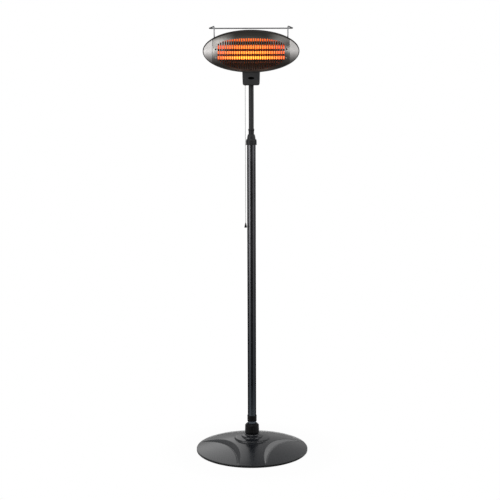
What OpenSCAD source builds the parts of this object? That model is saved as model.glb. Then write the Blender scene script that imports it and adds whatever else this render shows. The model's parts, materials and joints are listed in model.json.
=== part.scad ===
// Free-standing electric quartz heater for patios: a weighted round base, a telescopic
// pole and an oval head with three glowing tubes. It faces -Y and stands on z = 0.

/* [Base] */
// Diameter of the base
base_d = 500; // [400:5:600]
// Height of the black edge that shows under the cover
edge_h = 9.5; // [7:0.5:14]
// Height of the cover's own edge above the black one
cover_edge = 1.2; // [1:0.1:2]
// Rise of the cover's dome above its edge, at the middle
dome_rise = 46; // [38:1:60]
// Rise of the flatter lens inside each recess, at the middle
lens_rise = 35; // [28:0.5:37]
// Number of recesses round the cover
recess_count = 3; // [3:1:4]
// Distance from the pole's axis to the near end of a recess
recess_near = 100; // [90:1:120]
// Distance from the pole's axis to a recess's chord at the edge
recess_chord = 175; // [165:1:200]
// Wall of the moulded cover
cover_wall = 3; // [2:0.5:4]
// Radius of the raised boss in the middle of the cover
boss_r = 77; // [68:1:86]
// Height of the boss's rim above the floor
boss_rim_h = 60; // [55:1:66]
// Height of the boss where the nut sits on it
boss_top_h = 76.5; // [70:0.5:84]
// Thickness of the tray's floor
tray_floor = 2.5; // [2:0.5:4]
// Height of the rubber pads that show under the tray
foot_proud = 1; // [0.5:0.5:3]
// Radius of a rubber pad
foot_r = 9; // [7:0.5:12]
// Number of rubber pads
foot_count = 6; // [4:1:8]
// Diameter of the iron ballast
weight_d = 400; // [340:5:430]
// Thickness of the iron ballast
weight_t = 7; // [5:0.5:10]

/* [Pole foot fittings] */
// Radius of the socket's flange
flange_r = 48; // [42:1:60]
// Thickness of the socket's flange
flange_t = 4; // [3:0.5:6]
// Length of the socket's spigot inside the pole
spigot_len = 66; // [40:1:80]
// Height of the nut
nut_h = 46.5; // [40:0.5:54]
// Radius of the nut at its shoulder
nut_r = 31; // [29:0.5:34]
// Length of pole that shows between the nut and the sleeve
neck_len = 11; // [8:0.5:16]
// Height of the sleeve above the nut
ferrule_h = 26.5; // [20:0.5:34]
// Outer diameter of that sleeve
ferrule_d = 42.5; // [41:0.5:46]

/* [Wide pole] */
// Outer diameter of the wide pole
wide_d = 38; // [36:0.5:40]
// Wall of the wide pole
wide_wall = 1.2; // [1:0.1:2]
// Height of the lower joint between sections
joint_low_z = 498; // [440:1:540]
// Height of the upper joint between sections
joint_high_z = 940; // [900:1:980]
// Height of the wide pole's top
wide_top_z = 1392; // [1380:1:1420]
// Length of the swaged spigot at a section's foot
swage_len = 40; // [25:1:60]

/* [Collar] */
// Height of the clamp ring
ring_h = 25; // [20:0.5:32]
// Outer diameter of the clamp ring
ring_d = 47; // [46:0.5:54]
// Height of the collar's cone above the clamp ring
cone_h = 22; // [16:0.5:30]
// Outer diameter at the foot of the cone
cone_d = 37; // [34:0.5:42]
// Height of the collar's neck above the cone
neck_h = 12.5; // [8:0.5:20]
// Outer diameter of the neck
neck_d = 24; // [24:0.5:28]
// Height of the lip on top of the neck
lip_h = 11; // [6:0.5:16]
// Outer diameter of the lip
lip_d = 26.6; // [25:0.2:32]

/* [Thin pole] */
// Outer diameter of the thin pole
thin_d = 22; // [20:0.5:23]
// Wall of the thin pole
thin_wall = 1.2; // [1:0.1:2]
// Height of the thin pole's foot
thin_foot_z = 1133; // [1120:1:1160]
// Height of the guide bush
bush_h = 25; // [18:1:40]

/* [Switch box] */
// Width of the box at its top
box_w = 77.2; // [70:0.2:90]
// How much narrower the box is at its foot
box_taper = 3.8; // [0:0.2:8]
// Depth of the box in front of the pole's axis
box_front_y = 30; // [28:0.5:32]
// Depth of the box behind the pole's axis
box_back_y = 26; // [24:0.5:32]
// Wall of the box
box_wall = 2.2; // [1.8:0.1:3]
// Radius of the box's lower corners
box_corner = 8; // [4:0.5:10]
// Height of the tilt axis above the floor, which sets how far the thin pole is drawn out
pivot_z = 1652; // [1600:1:1700]
// Height of the tilt axis above the box's underside
box_drop = 25; // [23:0.5:29]
// Diameter of the tilt bolt
pivot_d = 8; // [6:0.5:10]
// Width of the blank oval on the front
oval_w = 27; // [20:1:34]
// Height of the blank oval on the front
oval_h = 11; // [8:0.5:14]

/* [Pull cord] */
// Diameter of the cord
cord_d = 2.2; // [1.6:0.2:3]
// Length of the cord
cord_len = 590; // [500:10:650]
// Travel of the pull switch
pull_travel = 12; // [8:1:14]
// Diameter of the actuator's rod
rod_d = 4; // [3:0.5:5]
// Height of the cord's knob
knob_h = 21; // [16:1:28]
// Diameter of the knob at its foot
knob_d = 11.5; // [9:0.5:12]

/* [Head] */
// Width of the oval casing at its rim
head_w = 411; // [380:1:440]
// Height of the oval casing at its rim
head_h = 178; // [172:1:186]
// Height of the oval's middle above the tilt axis
head_lift = 117.5; // [114:0.5:124]
// Distance of the casing's rim in front of the pole's axis
rim_forward = 34; // [33:0.5:37]
// Distance from the rim back to the casing's widest section
belly = 12; // [8:1:18]
// Depth of the casing behind its rim
casing_depth = 60; // [58:1:64]
// Sheet thickness of the casing
casing_wall = 1.5; // [1:0.1:2]
// Width of the front panel with its end caps
panel_w = 404.6; // [370:0.2:430]
// Height of the front panel
panel_h = 166.4; // [158:0.2:172]
// Drop of the panel's middle below the casing's middle
panel_drop = 2.5; // [0:0.1:3]
// How far the panel bulges in front of the rim
bulge = 38; // [34:1:42]
// Sheet thickness of the front panel
panel_t = 1; // [0.8:0.1:1.5]
// Distance from the middle to the seams of the end caps
seam_x = 165; // [162:0.5:172]
// Thickness of the end caps
cap_t = 2; // [1.5:0.1:2.5]
// Width of the lip that the panel seats on
seat_w = 6; // [5:0.5:8]
// Height of each row of vents above or below the casing's middle
vent_rise = 25; // [20:1:40]
// Length of a vent
vent_len = 22; // [16:1:30]
// Width of a vent
vent_w = 4; // [3:0.5:6]
// Distance from vent to vent
vent_pitch = 20; // [12:1:22]

/* [Grille] */
// Number of slots in the front panel
slot_count = 29; // [21:2:33]
// Distance from slot to slot
slot_pitch = 9.9; // [8.5:0.1:9.9]
// Width of a slot
slot_w = 6; // [4:0.2:7]
// Height of the slots above the head's middle
slot_rise = 51; // [44:1:54]
// Depth of the slots below the head's middle
slot_fall = 81; // [70:1:81]
// Half width at which the upper ends of the slots would meet
rise_span = 152; // [148:1:160]
// Half width at which the lower ends of the slots would meet
fall_span = 161; // [156:1:168]
// Diameter of a panel screw's head
screw_head_d = 7; // [6:0.5:8]

/* [Heating] */
// Number of quartz tubes
tube_count = 3; // [2:1:3]
// Outer diameter of a quartz tube
tube_d = 12; // [9:0.5:13]
// Distance from tube to tube
tube_pitch = 22; // [20:0.5:24]
// Drop of the middle tube below the head's middle
tube_drop = 6.5; // [2:0.5:8]
// Distance of the tubes behind the rim
tube_back = 6; // [5:0.5:10]
// Diameter of a heating coil
coil_d = 6.4; // [5:0.2:7]
// Distance from the middle to the bulkheads that carry the tubes
bulkhead_x = 150.2; // [148:0.2:154]
// Thickness of the bulkheads
bulkhead_t = 1.5; // [1:0.1:2]
// Diameter of a ceramic cap
ceramic_d = 16; // [15:0.5:17]

/* [Guard] */
// Diameter of the guard's wire
guard_d = 5.5; // [4:0.5:6]
// Distance from the middle to the guard's legs
leg_x = 157.5; // [157:0.5:160]
// Distance of the legs behind the rim
leg_back = 14; // [12:1:16]
// Height of the guard's wire above the head's middle
guard_rise = 105.2; // [98:0.2:120]
// Distance from the middle to the guard's rear corners
corner_x = 184; // [176:1:190]
// Distance of the rear bar behind the legs
loop_depth = 90; // [70:1:100]
// Bending radius of the wire
bend_r = 10; // [8:1:14]

/* [Clearances] */
// Radial clearance of parts that turn or slide in each other
run_gap = 0.08; // [0.03:0.01:0.1]
// Gap between moulded parts that are not a fit
part_gap = 0.3; // [0.2:0.05:0.5]

/* [Hidden] */
$fn = 96;
EPS = 0.01;
BANDS = 72;
FAR = 400;

// Colours
BLACK = "#161617";
GLOSS_GREY = "#4a4c50";
NAVY_GREY = "#2f3236";
DARK_BOX = "#3a3a3a";
SILVER = "#c4c2bf";
STEEL = "#b9bbbd";
IRON = "#5a5a5c";

// Base heights
tray_z = foot_proud;
floor_z = tray_z + tray_floor;
weight_top = floor_z + weight_t;
post_r = 5;
post_at = base_d / 2 - 38;
post_pilot_r = 1.4;
screw_r = 1.6;
foot_at = base_d / 2 - 32;
foot_sunk = 1.2;
dome_edge_z = edge_h + cover_edge;
lens_edge_z = dome_edge_z - 0.4;

// Pole foot heights
nut_z = boss_top_h;
nut_top = nut_z + nut_h;
pole_foot_z = nut_z + 5;
ferrule_z = nut_top + neck_len;
hub_r = wide_d / 2 + 4;
spigot_r = wide_d / 2 - wide_wall - 0.2;
collet_z = pole_foot_z + 3;
collet_top = nut_top - 3;

// Tubes
wide_bore_r = wide_d / 2 - wide_wall;
swage_r = wide_bore_r - 0.1;
thin_bore_r = thin_d / 2 - thin_wall;

// Collar heights
skirt_r = wide_d / 2 + 2;
skirt_wall_r = wide_d / 2 + 0.1;
skirt_h = ring_h - 2.5;
ring_top = wide_top_z + 3;
ring_z = ring_top - ring_h;
cone_top = ring_top + cone_h;
neck_top = cone_top + neck_h;
lip_top = neck_top + lip_h;
plug_len = 26;
grip_h = 14;
grip_r = neck_d / 2 + 3.4;
grip_z = wide_top_z - grip_h + 6;

// Thin pole
bush_z = thin_foot_z + 0.2;
clip_z = bush_z + bush_h + 0.2;
clip_h = 1.5;
knuckle_w = 20;
knuckle_r = 12;
thin_top = pivot_z - 16;
washer_t = 1.2;
ear_x = knuckle_w / 2 + washer_t + 0.2;
ear_t = 2.5;

// Head shapes
head_z = pivot_z + head_lift;
rim_y = -rim_forward;
casing_r = sqrt(pow(head_h / 2, 2) + pow(belly, 2));
casing_len = head_w / 2 * casing_r / (head_h / 2);
panel_r = (pow(panel_h / 2, 2) + pow(bulge, 2)) / (2 * bulge);
panel_c = panel_r - bulge;
panel_len = panel_w / 2 * panel_r / (panel_h / 2);
cap_proud = 0.4;
flange_sheet = 2;
slot_power = 2.75;
tube_half = bulkhead_x + 8;
ceramic_end = bulkhead_x + 13;
upper_screw_x = bulkhead_x + 0.8;
upper_screw_z = 5.5;
lower_screw_x = bulkhead_x - 1.2;
lower_screw_z = -30.5;

// Reflector, behind the rim: its flat back and its two flanks
mirror_t = 0.8;
mirror_back = tube_back + 22;
mirror_top = 30;
mirror_foot = -42;
flank_end = 66;
shelf_reach = 50;
shelf_drop = 5;

// Switch box: its posts, the oval and the cable's gland
box_foot_z = pivot_z - box_drop;
box_split_y = -2;
front_post_r = 3;
rear_post_r = 4.2;
post_x = box_w / 2 - box_taper / 2 - 5.5;
post_low_z = box_foot_z + 7;
post_high_z = box_foot_z + 48.5;
oval_z = box_foot_z + 28;
block_x = ear_x + ear_t + 5.6;
block_w = box_w / 2 - 7.6 - block_x;
gland_x = 16;
gland_z = box_foot_z + 24;

// Pull switch: its housing sits between the posts
switch_foot_z = post_low_z + front_post_r + part_gap;
switch_top_z = post_high_z - front_post_r - part_gap;
stop_z = switch_foot_z + 15.5 + pull_travel;
switch_depth = box_front_y - box_wall - pivot_d;
ball_r = 1.6;
bead_r = 2.8;
eyelet_r = rod_d / 2 + 2.5;

// Pull cord: its route, as points chosen by hand
cord_x = -(box_w / 2 - 13);
cord_y = -16;
CORD_TOP = box_foot_z - 6;
CORD_FOOT = CORD_TOP - cord_len;
CORD_POINTS = [[cord_x, cord_y, CORD_TOP], [cord_x, cord_y, (CORD_TOP + CORD_FOOT) / 2],
               [cord_x, cord_y, CORD_FOOT]];
CORD_SIDES = 8;
CORD_STEP = 8;
ball_z = CORD_TOP + part_gap + ball_r;

// Guard
leg_y = rim_y + leg_back;
guard_z = head_z + guard_rise;
leg_foot_z = casing_top_at(leg_x) - 12;
corner_turn = 90 + atan((corner_x - leg_x) / loop_depth);
corner_cut = bend_r * tan(corner_turn / 2);
side_len = norm([corner_x - leg_x, loop_depth]) - corner_cut - bend_r;

// ---------------------------------------------------------------- functions

// Radius of the sphere whose cap has this base radius and this rise
function cap_radius(r, rise) = (r * r + rise * rise) / (2 * rise);

// Height of the cover's dome at a distance from the axis
function dome_z(r) =
    let (R = cap_radius(base_d / 2, dome_rise))
    dome_edge_z + dome_rise - R + sqrt(R * R - r * r);

// Height of the casing's top line at a distance from the middle, on the legs' section
function casing_top_at(x) =
    let (r = casing_r * sqrt(1 - pow(x / casing_len, 2)))
    head_z + sqrt(r * r - pow(leg_back - belly, 2));

// Distance in front of the rim of the panel's outer face, at a place on the head's front
function panel_y(x, z) =
    let (r = panel_r * sqrt(1 - pow(x / panel_len, 2)))
    panel_c - sqrt(r * r - pow(z + panel_drop, 2));

// Upper and lower ends of the slot at x, measured from the head's middle
function slot_top(x) = slot_rise * pow(1 - pow(abs(x) / rise_span, slot_power), 1 / slot_power);
function slot_low(x) = -slot_fall * sqrt(1 - pow(x / fall_span, 2));

// Height of a quartz tube, measured from the head's middle
function tube_z(i) = (tube_count - 1) / 2 * tube_pitch - i * tube_pitch - tube_drop;

function unit(v) = v / norm(v);

// Points along a route, with a point at least every step
function resample(route, step) = concat(
    [route[0]],
    [for (i = [0:len(route) - 2])
        let (a = route[i], b = route[i + 1], n = ceil(norm(b - a) / step))
        for (k = [1:n]) a + (b - a) * k / n]
);

// ---------------------------------------------------------------- shapes

// Solid of revolution about X with an elliptical outline
module spheroid(half_len, r)
    rotate([0, 90, 0])
        rotate_extrude()
            polygon([for (i = [0:BANDS]) [r * sin(180 * i / BANDS), half_len * cos(180 * i / BANDS)]]);

// Everything between two distances from the front
module slab(front, back)
    translate([-FAR, front, -FAR])
        cube([2 * FAR, back - front, 2 * FAR]);

// Places its children in the head's frame, whose origin is the middle of the rim
module at_head()
    translate([0, rim_y, head_z])
        children();

module at_pivot()
    translate([0, 0, pivot_z])
        rotate([0, 90, 0])
            children();

module around(count, r, first = 0)
    for (i = [0:count - 1])
        rotate([0, 0, first + i * 360 / count])
            translate([r, 0, 0])
                children();

module ring(r_out, r_in, h)
    difference() {
        cylinder(r = r_out, h = h);
        translate([0, 0, -1]) cylinder(r = r_in, h = h + 2);
    }

// Pan-head screw that points down, with the head's underside at z = 0
module pan_screw(shank_r, length, head_r, head_h) {
    translate([0, 0, -length]) cylinder(r = shank_r, h = length + EPS);
    difference() {
        cylinder(r1 = head_r, r2 = head_r * 0.72, h = head_h);
        for (a = [0, 90])
            rotate([0, 0, a])
                translate([-head_r * 0.5, -0.45, head_h * 0.55])
                    cube([head_r, 0.9, head_h]);
    }
}

module ellipse_plate(w, h, t)
    linear_extrude(t)
        polygon([for (i = [0:47]) [w / 2 * cos(i * 7.5), h / 2 * sin(i * 7.5)]]);

// Slot with round ends, from one height to another, cut through along Y
module slot_cut(x, low, top, w, front, back)
    translate([x, back, 0])
        rotate([90, 0, 0])
            linear_extrude(back - front) {
                translate([-w / 2, low + w / 2]) square([w, top - low - w]);
                translate([0, low + w / 2]) circle(d = w);
                translate([0, top - w / 2]) circle(d = w);
            }

// Straight piece of wire along +X, with its children at the far end
module straight(length, r) {
    translate([-0.2, 0, 0])
        rotate([0, 90, 0]) cylinder(r = r, h = length + 0.4);
    translate([length, 0, 0]) children();
}

// Bent piece of wire that turns to the left, with its children at the far end; bending
// leaves it a hair thicker than the straight wire
module bend(turn, r, bend)
    translate([0, bend, 0])
        rotate([0, 0, -90]) {
            rotate_extrude(angle = turn)
                translate([bend, 0]) circle(r = r + 0.02);
            rotate([0, 0, turn])
                translate([bend, 0, 0])
                    rotate([0, 0, 90])
                        children();
        }

// Tube with flat sides along a list of points that run downwards
module swept_cord(points, r) {
    n = CORD_SIDES;
    rings = len(points);
    verts = [for (p = points) for (k = [0:n - 1]) p + r * [cos(k * 360 / n), sin(k * 360 / n), 0]];
    sides = [for (i = [0:rings - 2]) for (k = [0:n - 1])
        let (m = (k + 1) % n)
        [i * n + k, (i + 1) * n + k, (i + 1) * n + m, i * n + m]];
    top = [for (k = [0:n - 1]) k];
    foot = [for (k = [n - 1:-1:0]) (rings - 1) * n + k];
    polyhedron(points = verts, faces = [for (f = concat([top, foot], sides)) [for (q = f) q]]);
}

// ---------------------------------------------------------------- base

// Cap of a sphere that rises from the edge circle, made smaller all round by an inset
module dome_cap(edge_z, rise, inset) {
    R = cap_radius(base_d / 2, rise);
    intersection() {
        translate([0, 0, edge_z + rise - R]) sphere(r = R - inset);
        translate([0, 0, edge_h - inset]) cylinder(r = base_d / 2 - inset, h = 2 * rise);
    }
}

// Half-space outside a recess's slanting face
module recess_side(inset) {
    fall = dome_z(recess_near) - edge_h;
    slope = atan(fall / (recess_chord - recess_near));
    translate([recess_near, 0, dome_z(recess_near)])
        rotate([0, slope, 0])
            translate([-FAR, -FAR, -inset])
                cube([2 * FAR, 2 * FAR, FAR]);
}

module cover_form(inset) {
    difference() {
        dome_cap(dome_edge_z, dome_rise, inset);
        around(recess_count, 0, 90) recess_side(inset);
    }
    dome_cap(lens_edge_z, lens_rise, inset);
    rotate_extrude()
        polygon([
            [0, edge_h - inset], [boss_r - inset, edge_h - inset],
            [boss_r + 3 - inset, dome_z(boss_r + 3) - 1 - inset],
            [boss_r + 1 - inset, boss_rim_h - 3 - inset], [boss_r - 1.5 - inset, boss_rim_h - inset],
            [boss_r - 8 - inset, boss_rim_h + 1 - inset],
            // flat flange round the nut, one step above the boss
            [nut_r + 17 - inset, boss_rim_h + 2.6 - inset],
            [nut_r + 15.5 - inset, boss_rim_h + 7 - inset],
            [nut_r + 13.5 - inset, boss_rim_h + 8.5 - inset], [nut_r + 3, boss_top_h - 5 - inset],
            [nut_r - inset, boss_top_h - inset], [0, boss_top_h - inset]
        ]);
}

module base_cover()
    color(GLOSS_GREY) {
        difference() {
            cover_form(0);
            cover_form(cover_wall);
            cylinder(r = hub_r + part_gap, h = boss_top_h + 1);
        }
        cover_posts();
    }

// Posts that the tray's screws bite into
module cover_posts() {
    around(3, post_at, 30)
        translate([0, 0, floor_z]) ring(post_r + 1, post_pilot_r, edge_h - floor_z);
    intersection() {
        around(3, post_at, 30)
            translate([0, 0, edge_h - 1]) ring(post_r, post_pilot_r, dome_rise);
        cover_form(cover_wall / 2);
    }
}

module base_tray()
    color(BLACK)
        difference() {
            union() {
                rotate_extrude()
                    polygon([
                        [26, tray_z], [base_d / 2 - 1.5, tray_z], [base_d / 2, tray_z + 1.5],
                        [base_d / 2, edge_h - 0.8], [base_d / 2 - 0.8, edge_h],
                        [base_d / 2 - 5, edge_h], [base_d / 2 - 5, floor_z], [26, floor_z]
                    ]);
            }
            around(foot_count, foot_at, 0)
                translate([0, 0, tray_z - 1]) cylinder(r = foot_r + 0.1, h = 1 + foot_sunk);
            around(3, post_at, 30)
                translate([0, 0, tray_z - 1]) {
                    cylinder(r = screw_r + 0.2, h = tray_floor + 2);
                    cylinder(r = 3.6, h = 1 + 1.4);
                }
        }

module base_feet()
    color("#222222")
        around(foot_count, foot_at, 0)
            cylinder(r = foot_r, h = foot_proud + foot_sunk);

module base_weight()
    color(IRON)
        translate([0, 0, floor_z])
            difference() {
                cylinder(d = weight_d, h = weight_t);
                translate([0, 0, -1]) cylinder(r = 18, h = weight_t + 2);
                around(4, flange_r - 9, 45)
                    translate([0, 0, -1]) cylinder(r = 2.6, h = weight_t + 2);
                // the ballast clears the cover's posts
                around(3, post_at, 30)
                    translate([0, 0, -1]) cylinder(r = post_r + 5, h = weight_t + 2);
            }

module cover_screws()
    color(STEEL)
        around(3, post_at, 30)
            translate([0, 0, tray_z + 1.4])
                rotate([180, 0, 0])
                    pan_screw(screw_r - 0.25, 12, 3.2, 1.2);

module base_socket()
    color(BLACK)
        translate([0, 0, weight_top])
            difference() {
                rotate_extrude()
                    polygon([
                        [13, 0], [flange_r, 0], [flange_r, flange_t], [hub_r, flange_t + 6],
                        [hub_r, pole_foot_z - weight_top], [spigot_r, pole_foot_z - weight_top],
                        [spigot_r, pole_foot_z - weight_top + spigot_len - 3],
                        [spigot_r - 3, pole_foot_z - weight_top + spigot_len],
                        [13, pole_foot_z - weight_top + spigot_len]
                    ]);
                around(4, flange_r - 9, 45) {
                    translate([0, 0, -1]) cylinder(r = 2.8, h = flange_t + 2);
                    translate([0, 0, flange_t]) cylinder(r = 6, h = 8);
                }
            }

module socket_screws()
    color(STEEL)
        around(4, flange_r - 9, 45)
            translate([0, 0, weight_top + flange_t])
                pan_screw(2.5, flange_t + weight_t, 5, 3);

module base_collet()
    color(BLACK)
        difference() {
            rotate_extrude()
                polygon([
                    [wide_d / 2 + 0.05, collet_z], [hub_r, collet_z], [hub_r, collet_z + 12],
                    [wide_d / 2 + 1.8, collet_top], [wide_d / 2 + 0.05, collet_top]
                ]);
            // slits let the collet close on the pole
            around(4, 0, 45)
                translate([0, -1, collet_z + 8]) cube([hub_r + 5, 2, collet_top]);
        }

module base_nut()
    color(BLACK)
        difference() {
            rotate_extrude()
                polygon([
                    [hub_r + part_gap, nut_z], [nut_r - 1.5, nut_z], [nut_r + 0.5, nut_z + 4],
                    [nut_r + 1, nut_z + 8], [nut_r, nut_top - 8], [nut_r - 2, nut_top - 5],
                    [nut_r - 7, nut_top], [wide_d / 2 + 0.4, nut_top],
                    [wide_d / 2 + 0.4, nut_top - 3], [wide_d / 2 + 2.1, nut_top - 3],
                    [hub_r + part_gap, collet_z + 12]
                ]);
            // finger flutes round the grip
            around(12, nut_r + 5.2, 15)
                translate([0, 0, nut_z + 6]) cylinder(r = 6, h = nut_h - 18);
            // seat line on top
            translate([0, 0, nut_top - 0.6]) ring(wide_d / 2 + 3, wide_d / 2 + 2.4, 2);
        }

module pole_ferrule()
    color(BLACK)
        rotate_extrude()
            polygon([
                [wide_d / 2 + 0.05, ferrule_z], [ferrule_d / 2 - 0.4, ferrule_z],
                [ferrule_d / 2, ferrule_z + 1.2], [ferrule_d / 2 - 0.4, ferrule_z + 5],
                [ferrule_d / 2 - 0.2, ferrule_z + ferrule_h - 6],
                [ferrule_d / 2 + 0.2, ferrule_z + ferrule_h - 2],
                [ferrule_d / 2 - 0.8, ferrule_z + ferrule_h],
                [wide_d / 2 + 0.05, ferrule_z + ferrule_h]
            ]);

// ---------------------------------------------------------------- wide pole

// One section of the wide pole; a swaged foot fits into the section below
module pole_section(z0, z1, swaged)
    color(NAVY_GREY)
        rotate_extrude()
            polygon(concat(
                swaged
                    ? [[swage_r - wide_wall, z0 - swage_len], [swage_r, z0 - swage_len], [swage_r, z0]]
                    : [[wide_bore_r, z0]],
                [[wide_d / 2 - 0.8, z0], [wide_d / 2, z0 + 0.8],
                 [wide_d / 2, z1 - 0.8], [wide_d / 2 - 0.8, z1], [wide_bore_r, z1]],
                swaged ? [[wide_bore_r, z0 + 4], [swage_r - wide_wall, z0]] : []
            ));

module lower_pole_bottom()
    pole_section(pole_foot_z, joint_low_z, false);

module lower_pole_middle()
    pole_section(joint_low_z, joint_high_z, true);

module lower_pole_top()
    pole_section(joint_high_z, wide_top_z, true);

// ---------------------------------------------------------------- collar

module collar_body()
    color(BLACK)
        rotate_extrude()
            polygon([
                [grip_r + part_gap, wide_top_z - plug_len], [wide_bore_r - 0.05, wide_top_z - plug_len],
                [wide_bore_r - 0.05, wide_top_z], [skirt_wall_r, wide_top_z],
                [skirt_wall_r, ring_top - skirt_h], [skirt_r, ring_top - skirt_h],
                [skirt_r, ring_top], [cone_d / 2, ring_top],
                [cone_d / 2 - 0.5, ring_top + cone_h * 0.3], [cone_d / 2 - 1.6, ring_top + cone_h * 0.6],
                [cone_d / 2 - 3.2, ring_top + cone_h * 0.85], [neck_d / 2 + 1.2, cone_top - 0.8],
                [neck_d / 2, cone_top], [neck_d / 2, neck_top],
                [lip_d / 2 - 0.6, neck_top + 1.5], [lip_d / 2, neck_top + lip_h * 0.4],
                [lip_d / 2, lip_top - 2.5], [lip_d / 2 - 1.2, lip_top - 0.5],
                [thin_d / 2 + run_gap, lip_top], [thin_d / 2 + run_gap, wide_top_z + 9],
                [grip_r + part_gap, wide_top_z + 9]
            ]);

module lock_ring()
    color(BLACK)
        difference() {
            rotate_extrude()
                polygon([
                    [skirt_r + run_gap, ring_z], [ring_d / 2 + 0.6, ring_z], [ring_d / 2 + 0.6, ring_z + 3],
                    [ring_d / 2 - 0.3, ring_z + 3.6], [ring_d / 2 - 0.3, ring_z + 4.4],
                    [ring_d / 2, ring_z + 5], [ring_d / 2 - 0.2, ring_top - 6],
                    [ring_d / 2 - 1.2, ring_top - 2], [ring_d / 2 - 2.3, ring_top],
                    [skirt_r + run_gap, ring_top]
                ]);
            // grip grooves
            around(20, ring_d / 2 + 1.5, 0)
                translate([0, 0, ring_z + 6.5]) cylinder(r = 2, h = ring_h - 14);
        }

// Split ring that the collar squeezes on the thin pole
module grip_collet()
    color("#d8d4c8")
        difference() {
            rotate_extrude()
                polygon([
                    [thin_d / 2 + run_gap, grip_z], [grip_r - 1, grip_z], [grip_r, grip_z + 3],
                    [grip_r, grip_z + grip_h - 3], [grip_r - 1, grip_z + grip_h],
                    [thin_d / 2 + run_gap, grip_z + grip_h]
                ]);
            translate([0, -0.75, grip_z - 1]) cube([grip_r + 2, 1.5, grip_h + 2]);
        }

// ---------------------------------------------------------------- thin pole

module upper_pole()
    color(BLACK)
        translate([0, 0, thin_foot_z])
            ring(thin_d / 2, thin_bore_r, thin_top - thin_foot_z);

module guide_bush()
    color("#d8d4c8")
        translate([0, 0, bush_z])
            difference() {
                ring(wide_bore_r - run_gap, thin_d / 2 + run_gap, bush_h);
                // relief in the middle, so that two lands guide the tube
                translate([0, 0, bush_h / 4])
                    ring(wide_bore_r + 1, wide_bore_r - 1, bush_h / 2);
            }

module bush_clip()
    color(STEEL)
        translate([0, 0, clip_z])
            difference() {
                ring(thin_d / 2 + 3, thin_d / 2 + 0.05, clip_h);
                translate([0, -1.5, -1]) cube([20, 3, clip_h + 2]);
            }

module pole_foot()
    color(BLACK)
        translate([0, 0, thin_foot_z])
            difference() {
                union() {
                    translate([0, 0, -3]) cylinder(r = thin_d / 2 + 3, h = 3);
                    cylinder(r = thin_bore_r - 0.05, h = 18);
                }
                translate([0, 0, -4]) cylinder(r = thin_bore_r - 3, h = 30);
            }

// Knuckle on the thin pole's top, which the head tilts on
module pole_head()
    color(IRON)
        difference() {
            union() {
                at_pivot()
                    translate([0, 0, -knuckle_w / 2]) cylinder(r = knuckle_r, h = knuckle_w);
                intersection() {
                    translate([0, 0, thin_top]) cylinder(d = thin_d, h = pivot_z - thin_top);
                    translate([-knuckle_w / 2, -20, thin_top - 1]) cube([knuckle_w, 40, 40]);
                }
                translate([0, 0, thin_top - 30]) cylinder(r = thin_bore_r - 0.05, h = 30 + EPS);
            }
            at_pivot()
                translate([0, 0, -knuckle_w]) cylinder(r = pivot_d / 2 + run_gap, h = 2 * knuckle_w);
        }

module friction_washers()
    color(STEEL)
        for (side = [-1, 1])
            at_pivot()
                translate([0, 0, side * (knuckle_w / 2 + 0.1 + washer_t / 2) - washer_t / 2])
                    ring(knuckle_r - 2, pivot_d / 2 + 0.1, washer_t);

module pivot_bolt()
    color(STEEL)
        at_pivot() {
            translate([0, 0, -ear_x - ear_t - 7]) cylinder(d = pivot_d, h = 2 * (ear_x + ear_t) + 7);
            translate([0, 0, ear_x + ear_t]) cylinder(r = pivot_d * 0.87, h = 4.5, $fn = 6);
        }

module pivot_nut()
    color(STEEL)
        at_pivot()
            translate([0, 0, -ear_x - ear_t - 6])
                difference() {
                    cylinder(r = pivot_d * 0.87, h = 6, $fn = 6);
                    translate([0, 0, -1]) cylinder(r = pivot_d / 2 + 0.02, h = 8);
                }

// ---------------------------------------------------------------- switch box

module box_outline(inset) {
    top_z = head_z - head_h / 2 + 20;
    low = box_w / 2 - box_taper / 2 - inset;
    c = max(box_corner - inset, 1);
    hull() {
        for (side = [-1, 1]) {
            translate([side * (low - c), box_foot_z + inset + c]) circle(r = c, $fn = 48);
            translate([side * (box_w / 2 - inset) - (side > 0 ? 1 : 0), top_z]) square([1, 1]);
        }
    }
}

// The box between two distances from the pole's axis, trimmed where the casing sits on it
module box_solid(inset, front, back, seat)
    difference() {
        translate([0, back, 0])
            rotate([90, 0, 0])
                linear_extrude(back - front) box_outline(inset);
        at_head()
            translate([0, belly, 0])
                spheroid(casing_len + seat, casing_r + seat);
    }

// Opening under the box for the thin pole, long enough for the tilt
module pole_opening()
    translate([-thin_d / 2 - 1.2, -box_front_y + box_wall, box_foot_z - 1])
        cube([thin_d + 2.4, box_front_y - box_wall + 18, box_wall + 2]);

// Centres of the screw posts, to the sides of the pole
module post_places()
    for (side = [-1, 1])
        for (z = [post_low_z, post_high_z])
            translate([side * post_x, 0, z]) children();

// Cylinders along Y through the posts, between two distances from the pole's axis
module post_rods(r, front, back)
    post_places()
        translate([0, back, 0])
            rotate([90, 0, 0]) cylinder(r = r, h = back - front);

module box_front()
    color(DARK_BOX)
        difference() {
            union() {
                difference() {
                    box_solid(0, -box_front_y, box_split_y, 0.05);
                    box_solid(box_wall, -box_front_y + box_wall, box_split_y + 1, -1);
                }
                post_rods(front_post_r, -box_front_y + 1, box_split_y);
            }
            post_rods(1.3, box_split_y - 14, box_split_y + 1);
            pole_opening();
            translate([cord_x, cord_y, box_foot_z - 1]) cylinder(r = eyelet_r + 0.1, h = box_wall + 2);
            translate([0, -box_front_y - 1, oval_z])
                rotate([-90, 0, 0]) ellipse_plate(oval_w + 0.4, oval_h + 0.4, 2.2);
        }

module oval_plug()
    color("#050505")
        translate([0, -box_front_y + 0.5, oval_z])
            rotate([-90, 0, 0]) ellipse_plate(oval_w, oval_h, 0.7);

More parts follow.
